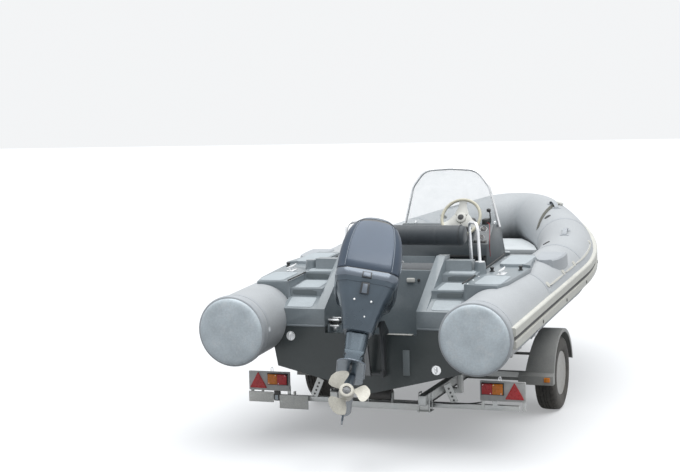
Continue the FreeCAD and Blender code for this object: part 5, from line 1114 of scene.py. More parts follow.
def pad(name, form, cap, replaces):
    item = bpy.data.objects.new(name, from_bmesh(form, name, 180))
    bpy.context.collection.objects.link(item)
    swell(item, cap, PAD_PRESSURE)
    for face in item.data.polygons:
        face.use_smooth = True
    item.data.materials.clear()
    item.data.materials.append(M["cushion_cover"])
    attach(item, ROOT)
    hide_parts(*replaces)


def bolster():
    """Backrest roll: tight round ends, a long seam below, and sewn bands that pull the cover in."""
    left, right, radius, sides = -0.333, 0.567, 0.0795, 48
    middle = B(0, 0.70, 1.147)

    def section(x):
        end = min(x - left, right - x)
        share = min(1.0, max(0.0, end / 0.045))
        r = radius * (0.80 + 0.20 * math.sqrt(1 - (1 - share) ** 2))
        for sewn in (-0.108, 0.117, 0.342):
            r -= 0.0042 * math.exp(-((x - sewn) / 0.010) ** 2)
        r += 0.0009 * math.sin(x * 61 + 0.7) * math.sin(x * 23)
        ring = []
        for a in [math.tau * i / sides for i in range(sides)]:
            dent = 0.0035 * math.exp(-((math.sin((a + math.pi / 2) / 2)) / 0.06) ** 2)
            ring.append(middle + Vector((x, (r - dent) * math.cos(a), (r - dent) * math.sin(a))))
        return ring

    form = bmesh.new()
    rings_mesh(form, [section(left + 0.002 + (right - left - 0.004) * k / 90) for k in range(91)])
    pad("bolster_cover", form, 0.005, ("bolster",))
    form = bmesh.new()
    for x in (left + 0.040, right - 0.040):
        angles = [math.tau * k / 64 for k in range(65)]
        pipe_into(form, [middle + Vector((x, 0.0825 * math.cos(a), 0.0825 * math.sin(a))) for a in angles],
                  0.0032, 8)
    seam = [middle + Vector((left + 0.045 + (right - left - 0.09) * k / 40, 0, -0.0775)) for k in range(41)]
    pipe_into(form, seam, 0.0028, 8)
    join("bolster_piping", form, "piping", slot="cushion_cover")


def cushion():
    """Bench cushion: crowned top with a boxed border between two rows of piping and two sewn channels."""
    low, high = Vector((-0.300, 0.683, 0.8205)), Vector((0.534, 1.152, 0.872))
    form = bmesh.new()
    nx, ny = 56, 32
    centre, half = (low + high) / 2, (high - low) / 2

    def point(u, v, top):
        pull = 1 - 0.012 * (1 - v * v) * (abs(u) > 0.985)
        x = centre.x + half.x * u * pull
        y = centre.y + half.y * v
        crown = (1 - abs(u) ** 6) * (1 - abs(v) ** 6)
        z = high.z - 0.010 + 0.010 * crown if top else low.z + 0.004 - 0.004 * crown
        if top:
            for sewn in (-0.36, 0.36):
                z -= 0.006 * math.exp(-((u - sewn) / 0.018) ** 2) * crown
        return form.verts.new(BOAT + Vector((x, y, z)))

    grids = []
    for top in (True, False):
        grids.append([[point(-1 + 2 * i / nx, -1 + 2 * k / ny, top) for k in range(ny + 1)]
                      for i in range(nx + 1)])
    for grid in grids:
        for i in range(nx):
            for k in range(ny):
                form.faces.new((grid[i][k], grid[i + 1][k], grid[i + 1][k + 1], grid[i][k + 1]))
    border = [(i, 0) for i in range(nx)] + [(nx, k) for k in range(ny)]
    border += [(nx - i, ny - k) for i, k in border]
    for (a, b), (c, d) in zip(border, border[1:] + border[:1]):
        form.faces.new((grids[0][a][b], grids[0][c][d], grids[1][c][d], grids[1][a][b]))
    pad("bench_cushion_cover", form, 0.006, ("bench_cushion",))
    form = bmesh.new()
    out = 0.002
    outline = rounded((low.x - out, low.y - out), (high.x + out, high.y + out), 0.03 + out, 6)
    for z in (0.8255, 0.8655):
        pipe_into(form, [B(x, y, z) for x, y in outline + outline[:1]], 0.0032, 8)
    join("cushion_piping", form, "piping", slot="cushion_cover")


bolster()
cushion()


# Helm, console and screen
HELM = Matrix.Translation(B(0.200, 1.845, 1.185)) @ Matrix.Rotation(math.radians(60), 4, "X")
HELM_RADIUS = 0.170

# The dash rises from the console's waist to its shelf: lengths and heights of the slope's two ends
WAIST_Y, WAIST_Z = 1.90, 0.95
SHELF_Y, SHELF_Z = 2.11, 1.11
DASH_RISE = (SHELF_Z - WAIST_Z) / (SHELF_Y - WAIST_Y)


def helm():
    """Wheel with its finger grips, three broad spokes that widen into a dished hub, and the button on it."""
    steps, sides, grips = 96, 18, 24
    rows = []
    for i in range(steps):
        a = math.tau * i / steps
        thick = 0.0142 - 0.0012 * (0.5 + 0.5 * math.cos(a * grips))
        row = []
        for b in [math.tau * k / sides for k in range(sides)]:
            reach = HELM_RADIUS + thick * math.cos(b)
            row.append(HELM @ Vector((reach * math.cos(a), reach * math.sin(a), thick * math.sin(b))))
        rows.append(row)
    form = bmesh.new()
    rings_mesh(form, rows + rows[:1], True, False)
    join("helm_rim_grip", form, "helm_rim", "helm", replaces=("helm_wheel",), sharp=60)
    form = bmesh.new()
    for angle in (90, 210, 330):
        turn = HELM @ Matrix.Rotation(math.radians(angle), 4, "Z")
        rows = []
        for x, half, low, high in ((0.030, 0.062, -0.030, -0.004), (0.060, 0.054, -0.026, -0.004),
                                   (0.100, 0.038, -0.018, -0.003), (0.140, 0.033, -0.011, 0.001),
                                   (0.162, 0.040, -0.007, 0.006)):
            section = ((-half, low + 0.003), (-half + 0.004, low), (half - 0.004, low), (half, low + 0.003),
                       (half, high - 0.003), (half - 0.005, high), (-half + 0.005, high),
                       (-half, high - 0.003))
            rows.append([turn @ Vector((x, y, z)) for y, z in section])
        rings_mesh(form, rows)
    dish = [(0.0, -0.034), (0.046, -0.034), (0.0475, -0.031), (0.0475, 0.002), (0.044, 0.008),
            (0.034, 0.011), (0.0, 0.0115)]
    lathe_into(form, dish, 48, HELM)
    join("helm_spokes", form, "helm_white", "helm", "helm_rim", ("helm_wheel",))
    form = bmesh.new()
    lathe_into(form, [(0.026, 0.009), (0.026, 0.0125), (0.022, 0.0150), (0.0, 0.0155)], 40, HELM)
    lathe_into(form, [(0.0119, -0.119), (0.0119, -0.033), (0, -0.033)], 24, HELM)
    join("helm_button", form, "black_moulding", "helm", replaces=("helm_wheel",))
    lathe("helm_bezel", [(0.040, -0.05), (0.0698, -0.05), (0.0698, -0.045), (0.062, -0.040),
                         (0.040, -0.0385)], "black_moulding", matrix=HELM)


def dash_height(y):
    return WAIST_Z + (y - WAIST_Y) * DASH_RISE


def on_dash(x, y):
    """Matrix at a place on the dash's slope: local Z out of it, Y up along it."""
    return facing(B(x, y, dash_height(y)), (0, -DASH_RISE, 1), Y)


def gauge(name, x, y, radius):
    """Instrument in a bright bezel, with its marks and its hand."""
    at = facing(B(x, y, dash_height(y) + 0.001), (0, -1, 0.75))
    bezel = [(radius, -0.004), (radius, 0.007), (radius * 0.93, 0.010), (radius * 0.86, 0.008),
             (radius * 0.85, 0.004)]
    lathe(name + "_bezel", bezel, "stainless", matrix=at, steps=36)
    face = [(radius * 0.86, 0.002), (radius * 0.86, 0.0045), (0, 0.0045)]
    lathe(name + "_face", face, "gauge_face", slot="black_moulding", matrix=at, steps=36)
    form = bmesh.new()
    for k in range(11):
        turn = at @ Matrix.Rotation(math.radians(-120 + 24 * k), 4, "Z")
        low, high = (-radius * 0.02, radius * 0.62, 0.0044), (radius * 0.02, radius * 0.76, 0.0052)
        box_into(form, low, high, 0, 1, turn)
    box_into(form, (-radius * 0.025, -radius * 0.1, 0.0044), (radius * 0.025, radius * 0.6, 0.0056), 0, 1,
             at @ Matrix.Rotation(math.radians(35), 4, "Z"))
    join(name + "_marks", form, "lamp_white", slot="plate_white")


def dash_panels():
    """Air vent with its slots, shown as dark bars of painted shade, and the switch panel with its rockers.
    """
    vent = on_dash(-0.185, 2.03)
    box("dash_vent_frame", (-0.125, -0.030, -0.004), (0.125, 0.030, 0.010), "console_gelcoat", bevel=0.008,
        matrix=vent, segments=3)
    # Dark bars in the vent's slots: painted shade inside them
    slots = [((-0.108, -0.021 + 0.0095 * k, 0.008), (0.108, -0.016 + 0.0095 * k, 0.0115)) for k in range(5)]
    boxes("dash_vent_slot_shade", slots, "black_moulding", bevel=0.001, matrix=vent, segments=1)
    panel = on_dash(0.345, 1.925)
    form = bmesh.new()
    box_into(form, (-0.060, -0.019, -0.003), (0.060, 0.012, 0.004), 0.004, 2, panel)
    for k in range(5):
        box_into(form, (-0.052 + 0.021 * k, -0.013, 0.003), (-0.036 + 0.021 * k, 0.007, 0.009), 0.003, 2,
                 panel)
    join("switch_panel", form, "black_moulding")


def console_back():
    """Frame of the stowage opening, outside its mouth, and the hatch beside it with hinges and catch."""
    frame_bars = bars_round(B(0.018, 1.893, 0.618), B(0.402, 1.902, 0.852), 0.020)
    boxes("stowage_frame", frame_bars, "black_moulding", bevel=0.004)
    box("console_hatch", B(-0.36, 1.8905, 0.47), B(-0.06, 1.902, 0.84), "deck_gelcoat", bevel=0.006)
    form = bmesh.new()
    catch = [(0.022, 0), (0.022, 0.004), (0.017, 0.006), (0.017, 0.003), (0, 0.003)]
    lathe_into(form, catch, 28, facing(B(-0.09, 1.891, 0.655), -Y))
    for z in (0.54, 0.77):
        box_into(form, B(-0.378, 1.888, z - 0.025), B(-0.345, 1.8925, z + 0.025), 0.001, 1)
        pipe_into(form, [B(-0.362, 1.886, z - 0.026), B(-0.362, 1.886, z + 0.026)], 0.0035, 10)
    join("hatch_fittings", form, "stainless")


def control_lever():
    """Throttle and shift lever on its box, with a knob at its end."""
    form = bmesh.new()
    box_into(form, B(0.312, 2.100, 1.090), B(0.368, 2.208, 1.150), 0.012, 3)
    lathe_into(form, [(0.028, -0.002), (0.028, 0.008), (0.022, 0.012), (0, 0.012)], 32,
               facing(B(0.367, 2.150, 1.125), X))
    rows = []
    for share in [k / 10 for k in range(11)]:
        z = 1.118 + 0.100 * share
        y = 2.148 - 0.030 * share ** 1.5
        half = 0.011 - 0.004 * share
        rows.append([B(0.378, y - half, z), B(0.386, y - half, z), B(0.386, y + half, z),
                     B(0.378, y + half, z)])
    rings_mesh(form, rows)
    knob = [(0, -0.018), (0.012, -0.016), (0.0165, -0.006), (0.0165, 0.010), (0.011, 0.018), (0, 0.020)]
    lathe_into(form, knob, 28, facing(B(0.374, 2.117, 1.226), X))
    join("control_lever", form, "black_moulding", replaces=("engine_control",))


def stop_cord():
    """Red cord that hangs from the control's box at the console's side."""
    route = [B(0.36, 2.105, 1.118), B(0.405, 2.02, 1.105), B(0.429, 1.93, 0.99), B(0.4285, 1.925, 0.93),
             B(0.4295, 1.932, 0.88), B(0.4290, 1.94, 0.84)]
    thick = 0.0044
    line = smooth_line(route, 14)
    form = bmesh.new()
    pipe_into(form, line, thick / 2, 8)
    item = join("stop_cord", form, "red_cord", slot="red_lens")


def console_top():
    """Rails down the console's front, and the compass on the dash shelf."""
    form = bmesh.new()
    for x in (-0.37, 0.37):
        rail = [B(x, 2.325, 1.085), B(x, 2.345, 1.100), B(x, 2.43, 0.985), B(x, 2.505, 0.855),
                B(x, 2.505, 0.815)]
        pipe_into(form, smooth_line(rail, 8), 0.009, 12)
    join("console_rails", form, "stainless")
    at = Matrix.Translation(B(0.20, 2.20, 1.098))
    lathe("compass_base", [(0.045, 0), (0.045, 0.012), (0.040, 0.020), (0.030, 0.022)], "black_moulding",
          matrix=at, steps=40)
    lathe("compass_dome", [(0.036, 0.018), (0.035, 0.034), (0.026, 0.048), (0.013, 0.055), (0, 0.0565)],
          "gauge_face", slot="black_moulding", matrix=at, steps=40)


helm()
for name, x, y, radius in (("gauge_left", -0.02, 2.01, 0.046), ("gauge_right", 0.345, 2.045, 0.034),
                           ("gauge_low", 0.345, 1.965, 0.026)):
    gauge(name, x, y, radius)
dash_panels()
console_back()
control_lever()
stop_cord()
console_top()


# Pods, well and stern

def shelf_height(y):
    """Top of the pods' outer shelf at a length, parallel to the sheer."""
    return 0.832 + (y - 0.1) * math.tan(SHEER)


def treads(word, at):
    """Non-slip inlays on the pod's three treads, lightened as painted light from above, and dark plates of
    painted shade on its risers.
    """
    form = bmesh.new()
    for (y0, z0), (y1, z1), inset in (((0.0, 0.64), (0.155, 0.717), 0.020),
                                      ((0.155, 0.777), (0.45, 0.808), 0.028),
                                      ((0.45, 0.868), (0.66, 0.893), 0.026)):
        tilt = facing((0.585, (y0 + y1) / 2, (z0 + z1) / 2), (0, (z0 - z1) / (y1 - y0), 1), Y)
        long = math.hypot(y1 - y0, z1 - z0) / 2 - inset
        plate_into(form, rounded((-0.105, -long), (0.105, long), 0.02, 5), 0.003, 0.001, 1, at @ tilt)
    join(f"tread_inlays_{word}", form, "tread_grip_painted_light", slot="deck_gelcoat")
    form = bmesh.new()
    # Wedge outline of the painted shade on each riser, under the tread above it
    slot = [(-0.098, -0.018), (0.090, -0.018), (0.104, -0.008), (0.104, 0.012), (0.092, 0.018),
            (-0.060, 0.018), (-0.098, 0.008)]
    for y, z in ((0.1548, 0.747), (0.4498, 0.838)):
        plate_into(form, slot, 0.003, 0.001, 1, at @ facing((0.588, y, z), -Y))
    join(f"riser_painted_shade_{word}", form, "deck_dark", slot="deck_gelcoat")


def coaming(word, at):
    """Gasket under the coaming's lip, with its screws."""
    form = bmesh.new()
    line = ((0.706, 0.100, 0.845), (0.704, 0.40, 0.861), (0.703, 0.66, 0.876), (0.703, 0.90, 0.890),
            (0.703, 1.38, 0.925))
    pipe_into(form, [at @ p for p in smooth_line(line, 6)], 0.006, 8)
    join(f"coaming_gasket_{word}", form, "dark_rubber", slot="roller_rubber")
    places = [(at @ Vector((0.728, y, shelf_height(y) + 0.0002)), Z) for y in (0.16, 0.32, 0.48, 0.66, 0.82)]
    bolts(f"coaming_screws_{word}", places, 0.007, kind="dome")


def shelf_fittings(word, at):
    """Non-slip platforms, lightened as painted light from above, the cleat, and black knobs for fenders on
    the pod's shelf.
    """
    form = bmesh.new()
    for y0, y1, x0, x1, lift in ((0.14, 0.50, 0.775, 0.985, 0.010), (0.92, 1.34, 0.770, 0.985, 0.028)):
        middle = (y0 + y1) / 2
        tilt = Matrix.Translation((0, middle, shelf_height(middle) - 0.004)) @ Matrix.Rotation(SHEER, 4, "X")
        plate_into(form, rounded((x0, y0 - middle), (x1, y1 - middle), 0.045, 6), lift, 0.004, 3, at @ tilt)
    join(f"shelf_platforms_{word}", form, "tread_grip_painted_light", slot="deck_gelcoat")
    form = bmesh.new()
    cleat = at @ Matrix.Translation((0.88, 0.60, shelf_height(0.60))) @ Matrix.Rotation(SHEER, 4, "X")
    box_into(form, (-0.030, -0.055, -0.001), (0.030, 0.055, 0.005), 0.002, 2, cleat)
    for y in (-0.030, 0.030):
        foot = cleat @ Matrix.Translation((0, y, 0))
        lathe_into(form, [(0.016, 0), (0.012, 0.012), (0.012, 0.024), (0, 0.026)], 20, foot)
    # Length, height and radius along the horns
    horns = ((-0.095, 0.040, 0.004), (-0.070, 0.033, 0.0075), (-0.030, 0.029, 0.010), (0.030, 0.029, 0.010),
             (0.070, 0.033, 0.0075), (0.095, 0.040, 0.004))
    pipe_into(form, [cleat @ Vector((0, y, z)) for y, z, _ in horns], [radius for *_, radius in horns], 14)
    join(f"cleat_{word}", form, "stainless")
    form = bmesh.new()
    knob = [(0.020, -0.004), (0.020, 0.004), (0.013, 0.007), (0.012, 0.020), (0.017, 0.024), (0.017, 0.032),
            (0.012, 0.036), (0, 0.036)]
    for x, y in ((0.775, 0.70), (0.985, 0.78)):
        lathe_into(form, knob, 24, at @ Matrix.Translation((x, y, shelf_height(y))))
    join(f"shelf_knobs_{word}", form, "black_moulding")


def well_fittings():
    """White lamp with its switch on the well's wall, and the light strip in the lowered lip."""
    box("well_lamp", B(0.095, 0.612, 0.775), B(0.165, 0.632, 0.812), "lamp_white", slot="plate_white",
        bevel=0.010, segments=3)
    lathe("well_lamp_switch", [(0.012, 0), (0.012, 0.008), (0.007, 0.010), (0.006, 0.020), (0, 0.021)],
          "black_moulding", matrix=facing(B(0.195, 0.6305, 0.795), -Y), steps=20)
    box("stern_light_strip", B(0.135, -0.0035, 0.4585), B(0.333, 0.046, 0.4615), "lamp_white",
        slot="plate_white", bevel=0.001)


def folded_ladder():
    """Ladder behind the lowered lip to port: two bright rails round black treads."""
    form = bmesh.new()
    rail = ((-0.285, 0.545), (-0.40, 0.545), (-0.432, 0.541), (-0.442, 0.522), (-0.432, 0.503),
            (-0.40, 0.499), (-0.285, 0.499))
    for y in (0.085, 0.185):
        pipe_into(form, smooth_line([B(x, y, z) for x, z in rail], 6), 0.0082, 14)
    for x in (-0.42, -0.33):
        for z in (0.545, 0.499):
            pipe_into(form, [B(x, 0.085, z), B(x, 0.185, z)], 0.0065, 12)
        box_into(form, B(x - 0.014, 0.110, 0.452), B(x + 0.014, 0.160, 0.505), 0.003, 2)
    join("folded_ladder", form, "stainless")
    pairs = [(B(x0, 0.092, 0.509), B(x1, 0.178, 0.535)) for x0, x1 in ((-0.415, -0.355), (-0.345, -0.288))]
    boxes("ladder_treads", pairs, "black_moulding", bevel=0.005)


for side, word in SIDES:
    for fit in (treads, coaming, shelf_fittings):
        fit(word, boat_axes(side))
well_fittings()
folded_ladder()
box("transom_pad", B(0.258, -0.012, 0.150), B(0.312, 0.001, 0.345), "deck_dark", slot="hull_gelcoat",
    bevel=0.004)


# Trailer

TREAD_STEPS, BLOCK_STEPS = 180, 5


def tread_cut(step, radius, height):
    """Depth cut into the tyre at one of its steps: grooves across it, and notches in its shoulders."""
    if radius > 0.3035:
        block = (step + (2 if height > 0 else 0)) % BLOCK_STEPS
        if abs(height) <= 0.030:
            return 0.0055 if block == 2 else 0
        return 0.0065 if block == 0 else 0
    in_shoulder = radius > 0.298 and abs(height) > 0.06
    return 0.004 if in_shoulder and step % BLOCK_STEPS in (0, 1) else 0


def tyre(word, body, at):
    """Tyre with its walls, and a tread of blocks between grooves."""
    # Radius and height over the middle plane, from the bead up the wall and over the crown's ribs
    half = [(0.1815, -0.066), (0.185, -0.074), (0.200, -0.083), (0.240, -0.0895), (0.270, -0.0870),
            (0.292, -0.0800), (0.3015, -0.071), (0.3055, -0.062), (0.3075, -0.046), (0.3000, -0.0445),
            (0.3000, -0.0385), (0.3085, -0.037), (0.3093, -0.0155), (0.3010, -0.014), (0.3010, -0.008),
            (0.3095, -0.0065)]
    rows = []
    for radius, height in half + [(r, -h) for r, h in reversed(half)]:
        ring = []
        for i in range(TREAD_STEPS):
            a = math.tau * i / TREAD_STEPS
            reach = radius - tread_cut(i, radius, height)
            ring.append(at @ Vector((reach * math.cos(a), reach * math.sin(a), height)))
        rows.append(ring)
    form = bmesh.new()
    rings_mesh(form, rows, True, False)
    join(f"tyre_tread_{word}", form, "tyre_rubber", body, replaces=(f"tyre_{word}",), sharp=40)


def rim(word, body, out):
    """Pressed rim with its slots, shown as dark plates of painted shade; the outboard face is the dished
    one.
    """
    well = [(0.176, 0.074), (0.1825, 0.076), (0.184, 0.071), (0.1795, 0.066), (0.172, 0.060),
            (0.166, 0.045), (0.164, 0.0), (0.166, -0.045), (0.1795, -0.066), (0.184, -0.071),
            (0.1825, -0.076), (0.176, -0.074), (0.168, -0.066), (0.158, -0.045), (0.155, 0.0),
            (0.157, 0.040)]
    lathe(f"rim_well_{word}", well, "rim_steel", body, out, replaces=(f"rim_{word}",), steps=72)
    dish = [(0.157, 0.042), (0.148, 0.034), (0.132, 0.036), (0.118, 0.044), (0.098, 0.047), (0.078, 0.040),
            (0.060, 0.036), (0.036, 0.037), (0.033, 0.038)]
    sheet = 0.004
    form = bmesh.new()
    profile = dish + [(r, h - sheet) for r, h in reversed(dish)]
    rings_mesh(form, [[out @ p for p in circle(r, 96, h)] for r, h in profile], True, False)
    join(f"rim_dish_{word}", form, "rim_steel", body, replaces=(f"rim_{word}",))
    form = bmesh.new()
    # Dark plates in the dish's slots: painted shade seen through them
    slot = [(0.1390 + 0.0085 * math.cos(a), 0.0175 * math.sin(a))
            for a in [math.tau * j / 20 for j in range(20)]]
    for k in range(12):
        turn = out @ Matrix.Rotation(math.tau * k / 12, 4, "Z") @ Matrix.Translation((0, 0, 0.0345))
        plate_into(form, slot, 0.002, 0, 1, turn)
    join(f"rim_slot_shade_{word}", form, "black_moulding", body)


def hub(word, body, out):
    """Hub cap between the wheel's four nuts, and the tyre's valve."""
    form = bmesh.new()
    lathe_into(form, [(0.034, 0.030), (0.034, 0.052), (0.032, 0.060), (0.026, 0.064), (0, 0.0655)], 36, out)
    for k in range(4):
        a = math.tau * (k + 0.5) / 4
        stud = out @ Matrix.Translation((0.049 * math.cos(a), 0.049 * math.sin(a), 0.035))
        lathe_into(form, [(0.014, 0), (0.012, 0.004)], 24, stud)
        lathe_into(form, [(0.0098, 0.002), (0.0098, 0.016), (0.0078, 0.019), (0, 0.019)], 6, stud)
    join(f"hub_cap_{word}", form, "galvanised", body)
    lathe(f"tyre_valve_{word}", [(0.0045, 0), (0.0045, 0.022), (0.0035, 0.030), (0, 0.030)],
          "black_moulding", body, out @ Matrix.Translation((0.150, 0.02, 0.035)), steps=12)


def lenses(word, at):
    """Red and amber lenses with their ribs, in a dark frame with screws."""
    boxes(f"lens_frame_{word}", bars_round((0.796, 0.238, -0.0205), (0.971, 0.2505, 0.0725), 0.0055),
          "black_moulding", bevel=0.001, matrix=at, segments=1)
    for kind, x0, x1 in (("red", 0.801, 0.8832), ("amber", 0.8834, 0.9656)):
        form = bmesh.new()
        box_into(form, (x0 + 0.0005, 0.2262, -0.0148), (x1 - 0.0005, 0.2500, 0.0668), 0.005, 3, at)
        for k in range(9):
            z = -0.0085 + 0.0085 * k
            box_into(form, (x0 + 0.006, 0.2250, z - 0.0012), (x1 - 0.006, 0.2275, z + 0.0012), 0.0006, 1, at)
        join(f"{kind}_lens_{word}", form, f"{kind}_lens", replaces=(f"{kind}_lenses",))
    places = [(at @ Vector((x, 0.2262, z)), -Y)
              for x, z in ((0.8125, 0.0585), (0.8715, -0.0065), (0.895, 0.0585), (0.954, -0.0065))]
    bolts(f"lens_screws_{word}", places, 0.0036, kind="dome")


def triangle(word, at):
    """Red triangle with rounded corners and a raised middle."""
    corners = [Vector((0.979, -0.0505)), Vector((1.129, -0.0505)), Vector((1.054, 0.080))]
    middle = sum(corners, Vector((0, 0))) / 3
    outline = []
    for before, corner, after in zip(corners[-1:] + corners[:-1], corners, corners[1:] + corners[:1]):
        a = corner + (before - corner).normalized() * 0.010
        b = corner + (after - corner).normalized() * 0.010
        for share in [k / 4 for k in range(5)]:
            outline.append(tuple(a * (1 - share) ** 2 + corner * 2 * share * (1 - share) + b * share ** 2))
    upright = at @ Matrix.Translation((0, 0.2498, 0)) @ Z_TO_BACK
    form = bmesh.new()
    plate_into(form, outline, 0.0072, 0.002, 2, upright)
    plate_into(form, [tuple(middle + (Vector(p) - middle) * 0.80) for p in outline], 0.0078, 0.0006, 1,
               upright)
    join(f"triangle_{word}", form, "red_lens", replaces=("triangles",))


def board(word, at):
    """Stiffening rims at the lamp board's back, and its two brackets."""
    rims = [((0.785, 0.2485, z), (1.137, 0.2555, z + 0.007)) for z in (0.0765, -0.0685)]
    boxes(f"board_rim_{word}", rims, "board_plastic", bevel=0.002, matrix=at)
    brackets = [((x - 0.012, 0.268, -0.144), (x + 0.012, 0.286, -0.030)) for x in (0.80, 1.12)]
    boxes(f"board_brackets_{word}", brackets, "galvanised", bevel=0.002, matrix=at)


def blank_plates():
    """Edges of the two plates, their rivets, the dark block between them and its pale tab."""
    form = bmesh.new()
    for x0, x1, top, height in ((-1.139, -0.924, -0.078, 0.085), (-0.874, -0.627, -0.098, 0.1105)):
        for low, high in bars_round((x0, 0.2462, top - height), (x1, 0.2478, top), 0.004):
            box_into(form, low, high, 0.0006, 1, boat_axes())
    box_into(form, B(-0.7515, 0.2464, -0.2065), B(-0.7495, 0.2476, -0.1), 0.0003, 1)
    join("plate_edges", form, "board_plastic")
    rivets = ((-1.122, -0.120), (-0.941, -0.120), (-0.857, -0.153), (-0.644, -0.153))
    bolts("plate_rivets", [(B(x, 0.2466, z), -Y) for x, z in rivets], 0.004, kind="dome")
    box("plate_block", B(-0.923, 0.250, -0.150), B(-0.876, 0.285, -0.070), "black_moulding", bevel=0.004)
    box("plate_block_tab", B(-0.913, 0.2470, -0.142), B(-0.887, 0.2510, -0.104), "cap_rubber", bevel=0.002)


def u_bolts(word, at):
    """U-bolts and plates where the cross beams and the axle meet the side beams."""
    form = bmesh.new()
    for y, low in ((0.21, -0.155), (3.03, -0.155), (1.65, -0.165)):
        for x in (0.318, 0.402):
            bend = ((-0.036, low - 0.012), (-0.036, -0.030), (-0.030, -0.0205), (0, -0.0185),
                    (0.030, -0.0205), (0.036, -0.030), (0.036, low - 0.012))
            pipe_into(form, smooth_line([at @ Vector((x, y + shift, z)) for shift, z in bend], 5), 0.005, 10)
            for shift in (-0.036, 0.036):
                nut = at @ Matrix.Translation((x, y + shift, low - 0.0095))
                lathe_into(form, [(0.0095, 0), (0.0095, 0.008), (0, 0.008)], 6, nut)
        box_into(form, (0.305, y - 0.048, low - 0.005), (0.415, y + 0.048, low), 0.001, 1, at)
    join(f"u_bolts_{word}", form, "galvanised")


def lamp_plug():
    form = bmesh.new()
    lathe_into(form, [(0.008, 0), (0.019, 0.010), (0.021, 0.016), (0.021, 0.058), (0.018, 0.062),
                      (0, 0.062)], 24, facing(B(0.062, 5.70, -0.06), Y))
    box_into(form, B(0.038, 5.70, -0.085), B(0.050, 5.76, -0.035), 0.003, 2)
    return join("lamp_plug", form, "black_moulding")


def side_fittings(word, at):
    """Amber lamp on the guard's aft skirt, pierced bracket under the hull with its holes shown as dark discs
    of painted shade, and the lamp board's hook.
    """
    box(f"side_lamp_{word}", (1.050, 1.2225, -0.108), (1.100, 1.2470, -0.070), "amber_lens", bevel=0.006,
        matrix=at, segments=3)
    box(f"side_lamp_base_{word}", (1.046, 1.2400, -0.112), (1.104, 1.2500, -0.066), "black_moulding",
        bevel=0.002, matrix=at)
    lean = at @ Matrix.Translation((0.548, 0.262, -0.022)) @ Matrix.Rotation(math.radians(-24), 4, "Y")
    box(f"pierced_bracket_{word}", (-0.030, -0.003, -0.082), (0.030, 0.003, 0.072), "galvanised",
        bevel=0.002, matrix=lean, segments=1)
    form = bmesh.new()
    # Dark discs in the bracket's holes: painted shade seen through them
    for z in (-0.062, -0.030, 0.002, 0.034):
        hole = lean @ Matrix.Translation((0, -0.0032, z)) @ Z_TO_BACK
        lathe_into(form, [(0.0085, -0.0004), (0.0085, 0.0004), (0, 0.0004)], 20, hole)
    join(f"bracket_hole_shade_{word}", form, "black_moulding")
    form = bmesh.new()
    hook = ((0.930, 0.080), (0.930, 0.108), (0.938, 0.119), (0.946, 0.108), (0.946, 0.080))
    pipe_into(form, smooth_line([at @ Vector((x, 0.262, z)) for x, z in hook], 6), 0.0032, 8)
    join(f"board_hook_{word}", form, "stainless")


def lamp_cable():
    """Cable along the starboard beam from the lamps to the plug at the coupling."""
    route = ((0.80, 0.292, -0.03), (0.78, 0.30, -0.09), (0.60, 0.235, -0.10), (0.41, 0.26, -0.10),
             (0.3955, 0.40, -0.100), (0.3955, 1.2, -0.099), (0.3955, 2.4, -0.101), (0.385, 3.25, -0.100),
             (0.22, 4.1, -0.100), (0.052, 4.75, -0.085), (0.0445, 5.2, -0.06), (0.0445, 5.7, -0.06))
    thick = 0.009
    line = smooth_line([B(*point) for point in route], 10)
    form = bmesh.new()
    pipe_into(form, line, thick / 2, 8)
    item = join("lamp_cable", form, "hose_black", slot="black_moulding")


def winch():
    """Side plate and crank with its grip."""
    form = bmesh.new()
    turn = Matrix.Translation(B(0, 5.035, 0.70)) @ Z_TO_X
    lathe_into(form, [(0.048, 0.064), (0.048, 0.069), (0.012, 0.071), (0.012, 0.100), (0, 0.100)], 40, turn)
    crank = [B(0.096, 5.035, 0.70), B(0.102, 5.035, 0.71), B(0.104, 5.03, 0.76), B(0.104, 5.015, 0.86)]
    pipe_into(form, smooth_line(crank, 8), 0.0075, 12)
    join("winch_crank", form, "galvanised")
    lathe("winch_grip", [(0.010, 0.0), (0.0145, 0.006), (0.0145, 0.085), (0.011, 0.094), (0, 0.095)],
          "black_moulding", matrix=Matrix.Translation(B(0.104, 5.015, 0.855)) @ Z_TO_X, steps=24)


def coupling():
    """The coupling's lever, and the bolts that hold it to the drawbar."""
    # Length, underside and half width
    lever = ((5.86, 0.030, 0.010), (5.90, 0.046, 0.014), (5.99, 0.060, 0.016), (6.05, 0.058, 0.016),
             (6.075, 0.050, 0.012))
    thick = 0.010
    form = bmesh.new()
    rings_mesh(form, [[B(-half, y, z), B(half, y, z), B(half, y, z + thick), B(-half, y, z + thick)]
                      for y, z, half in lever])
    join("coupling_lever", form, "galvanised")
    form = bmesh.new()
    for x in (-0.032, 0.032):
        lathe_into(form, [(0.011, 0), (0.011, 0.009), (0, 0.009)], 6,
                   Matrix.Translation(B(x, 5.84, -0.0255)))
    join("coupling_bolts", form, "galvanised")


for side, word in ((1, "right"), (-1, "left")):
    wheel = Matrix.Translation(B(side * 1.025, 1.650, -0.102)) @ Z_TO_X
    outboard = wheel @ Matrix.Scale(side, 4, Z)
    tyre(word, f"wheel_{word}", wheel)
    rim(word, f"wheel_{word}", outboard)
    hub(word, f"wheel_{word}", outboard)
for side, word in SIDES:
    for fit in (lenses, triangle, board):
        fit(word, boat_axes(side))
blank_plates()
for side, word in SIDES:
    u_bolts(word, boat_axes(side))
cable_plug = lamp_plug()
for side, word in SIDES:
    side_fittings(word, boat_axes(side))
lamp_cable()
winch()
coupling()


# Studio

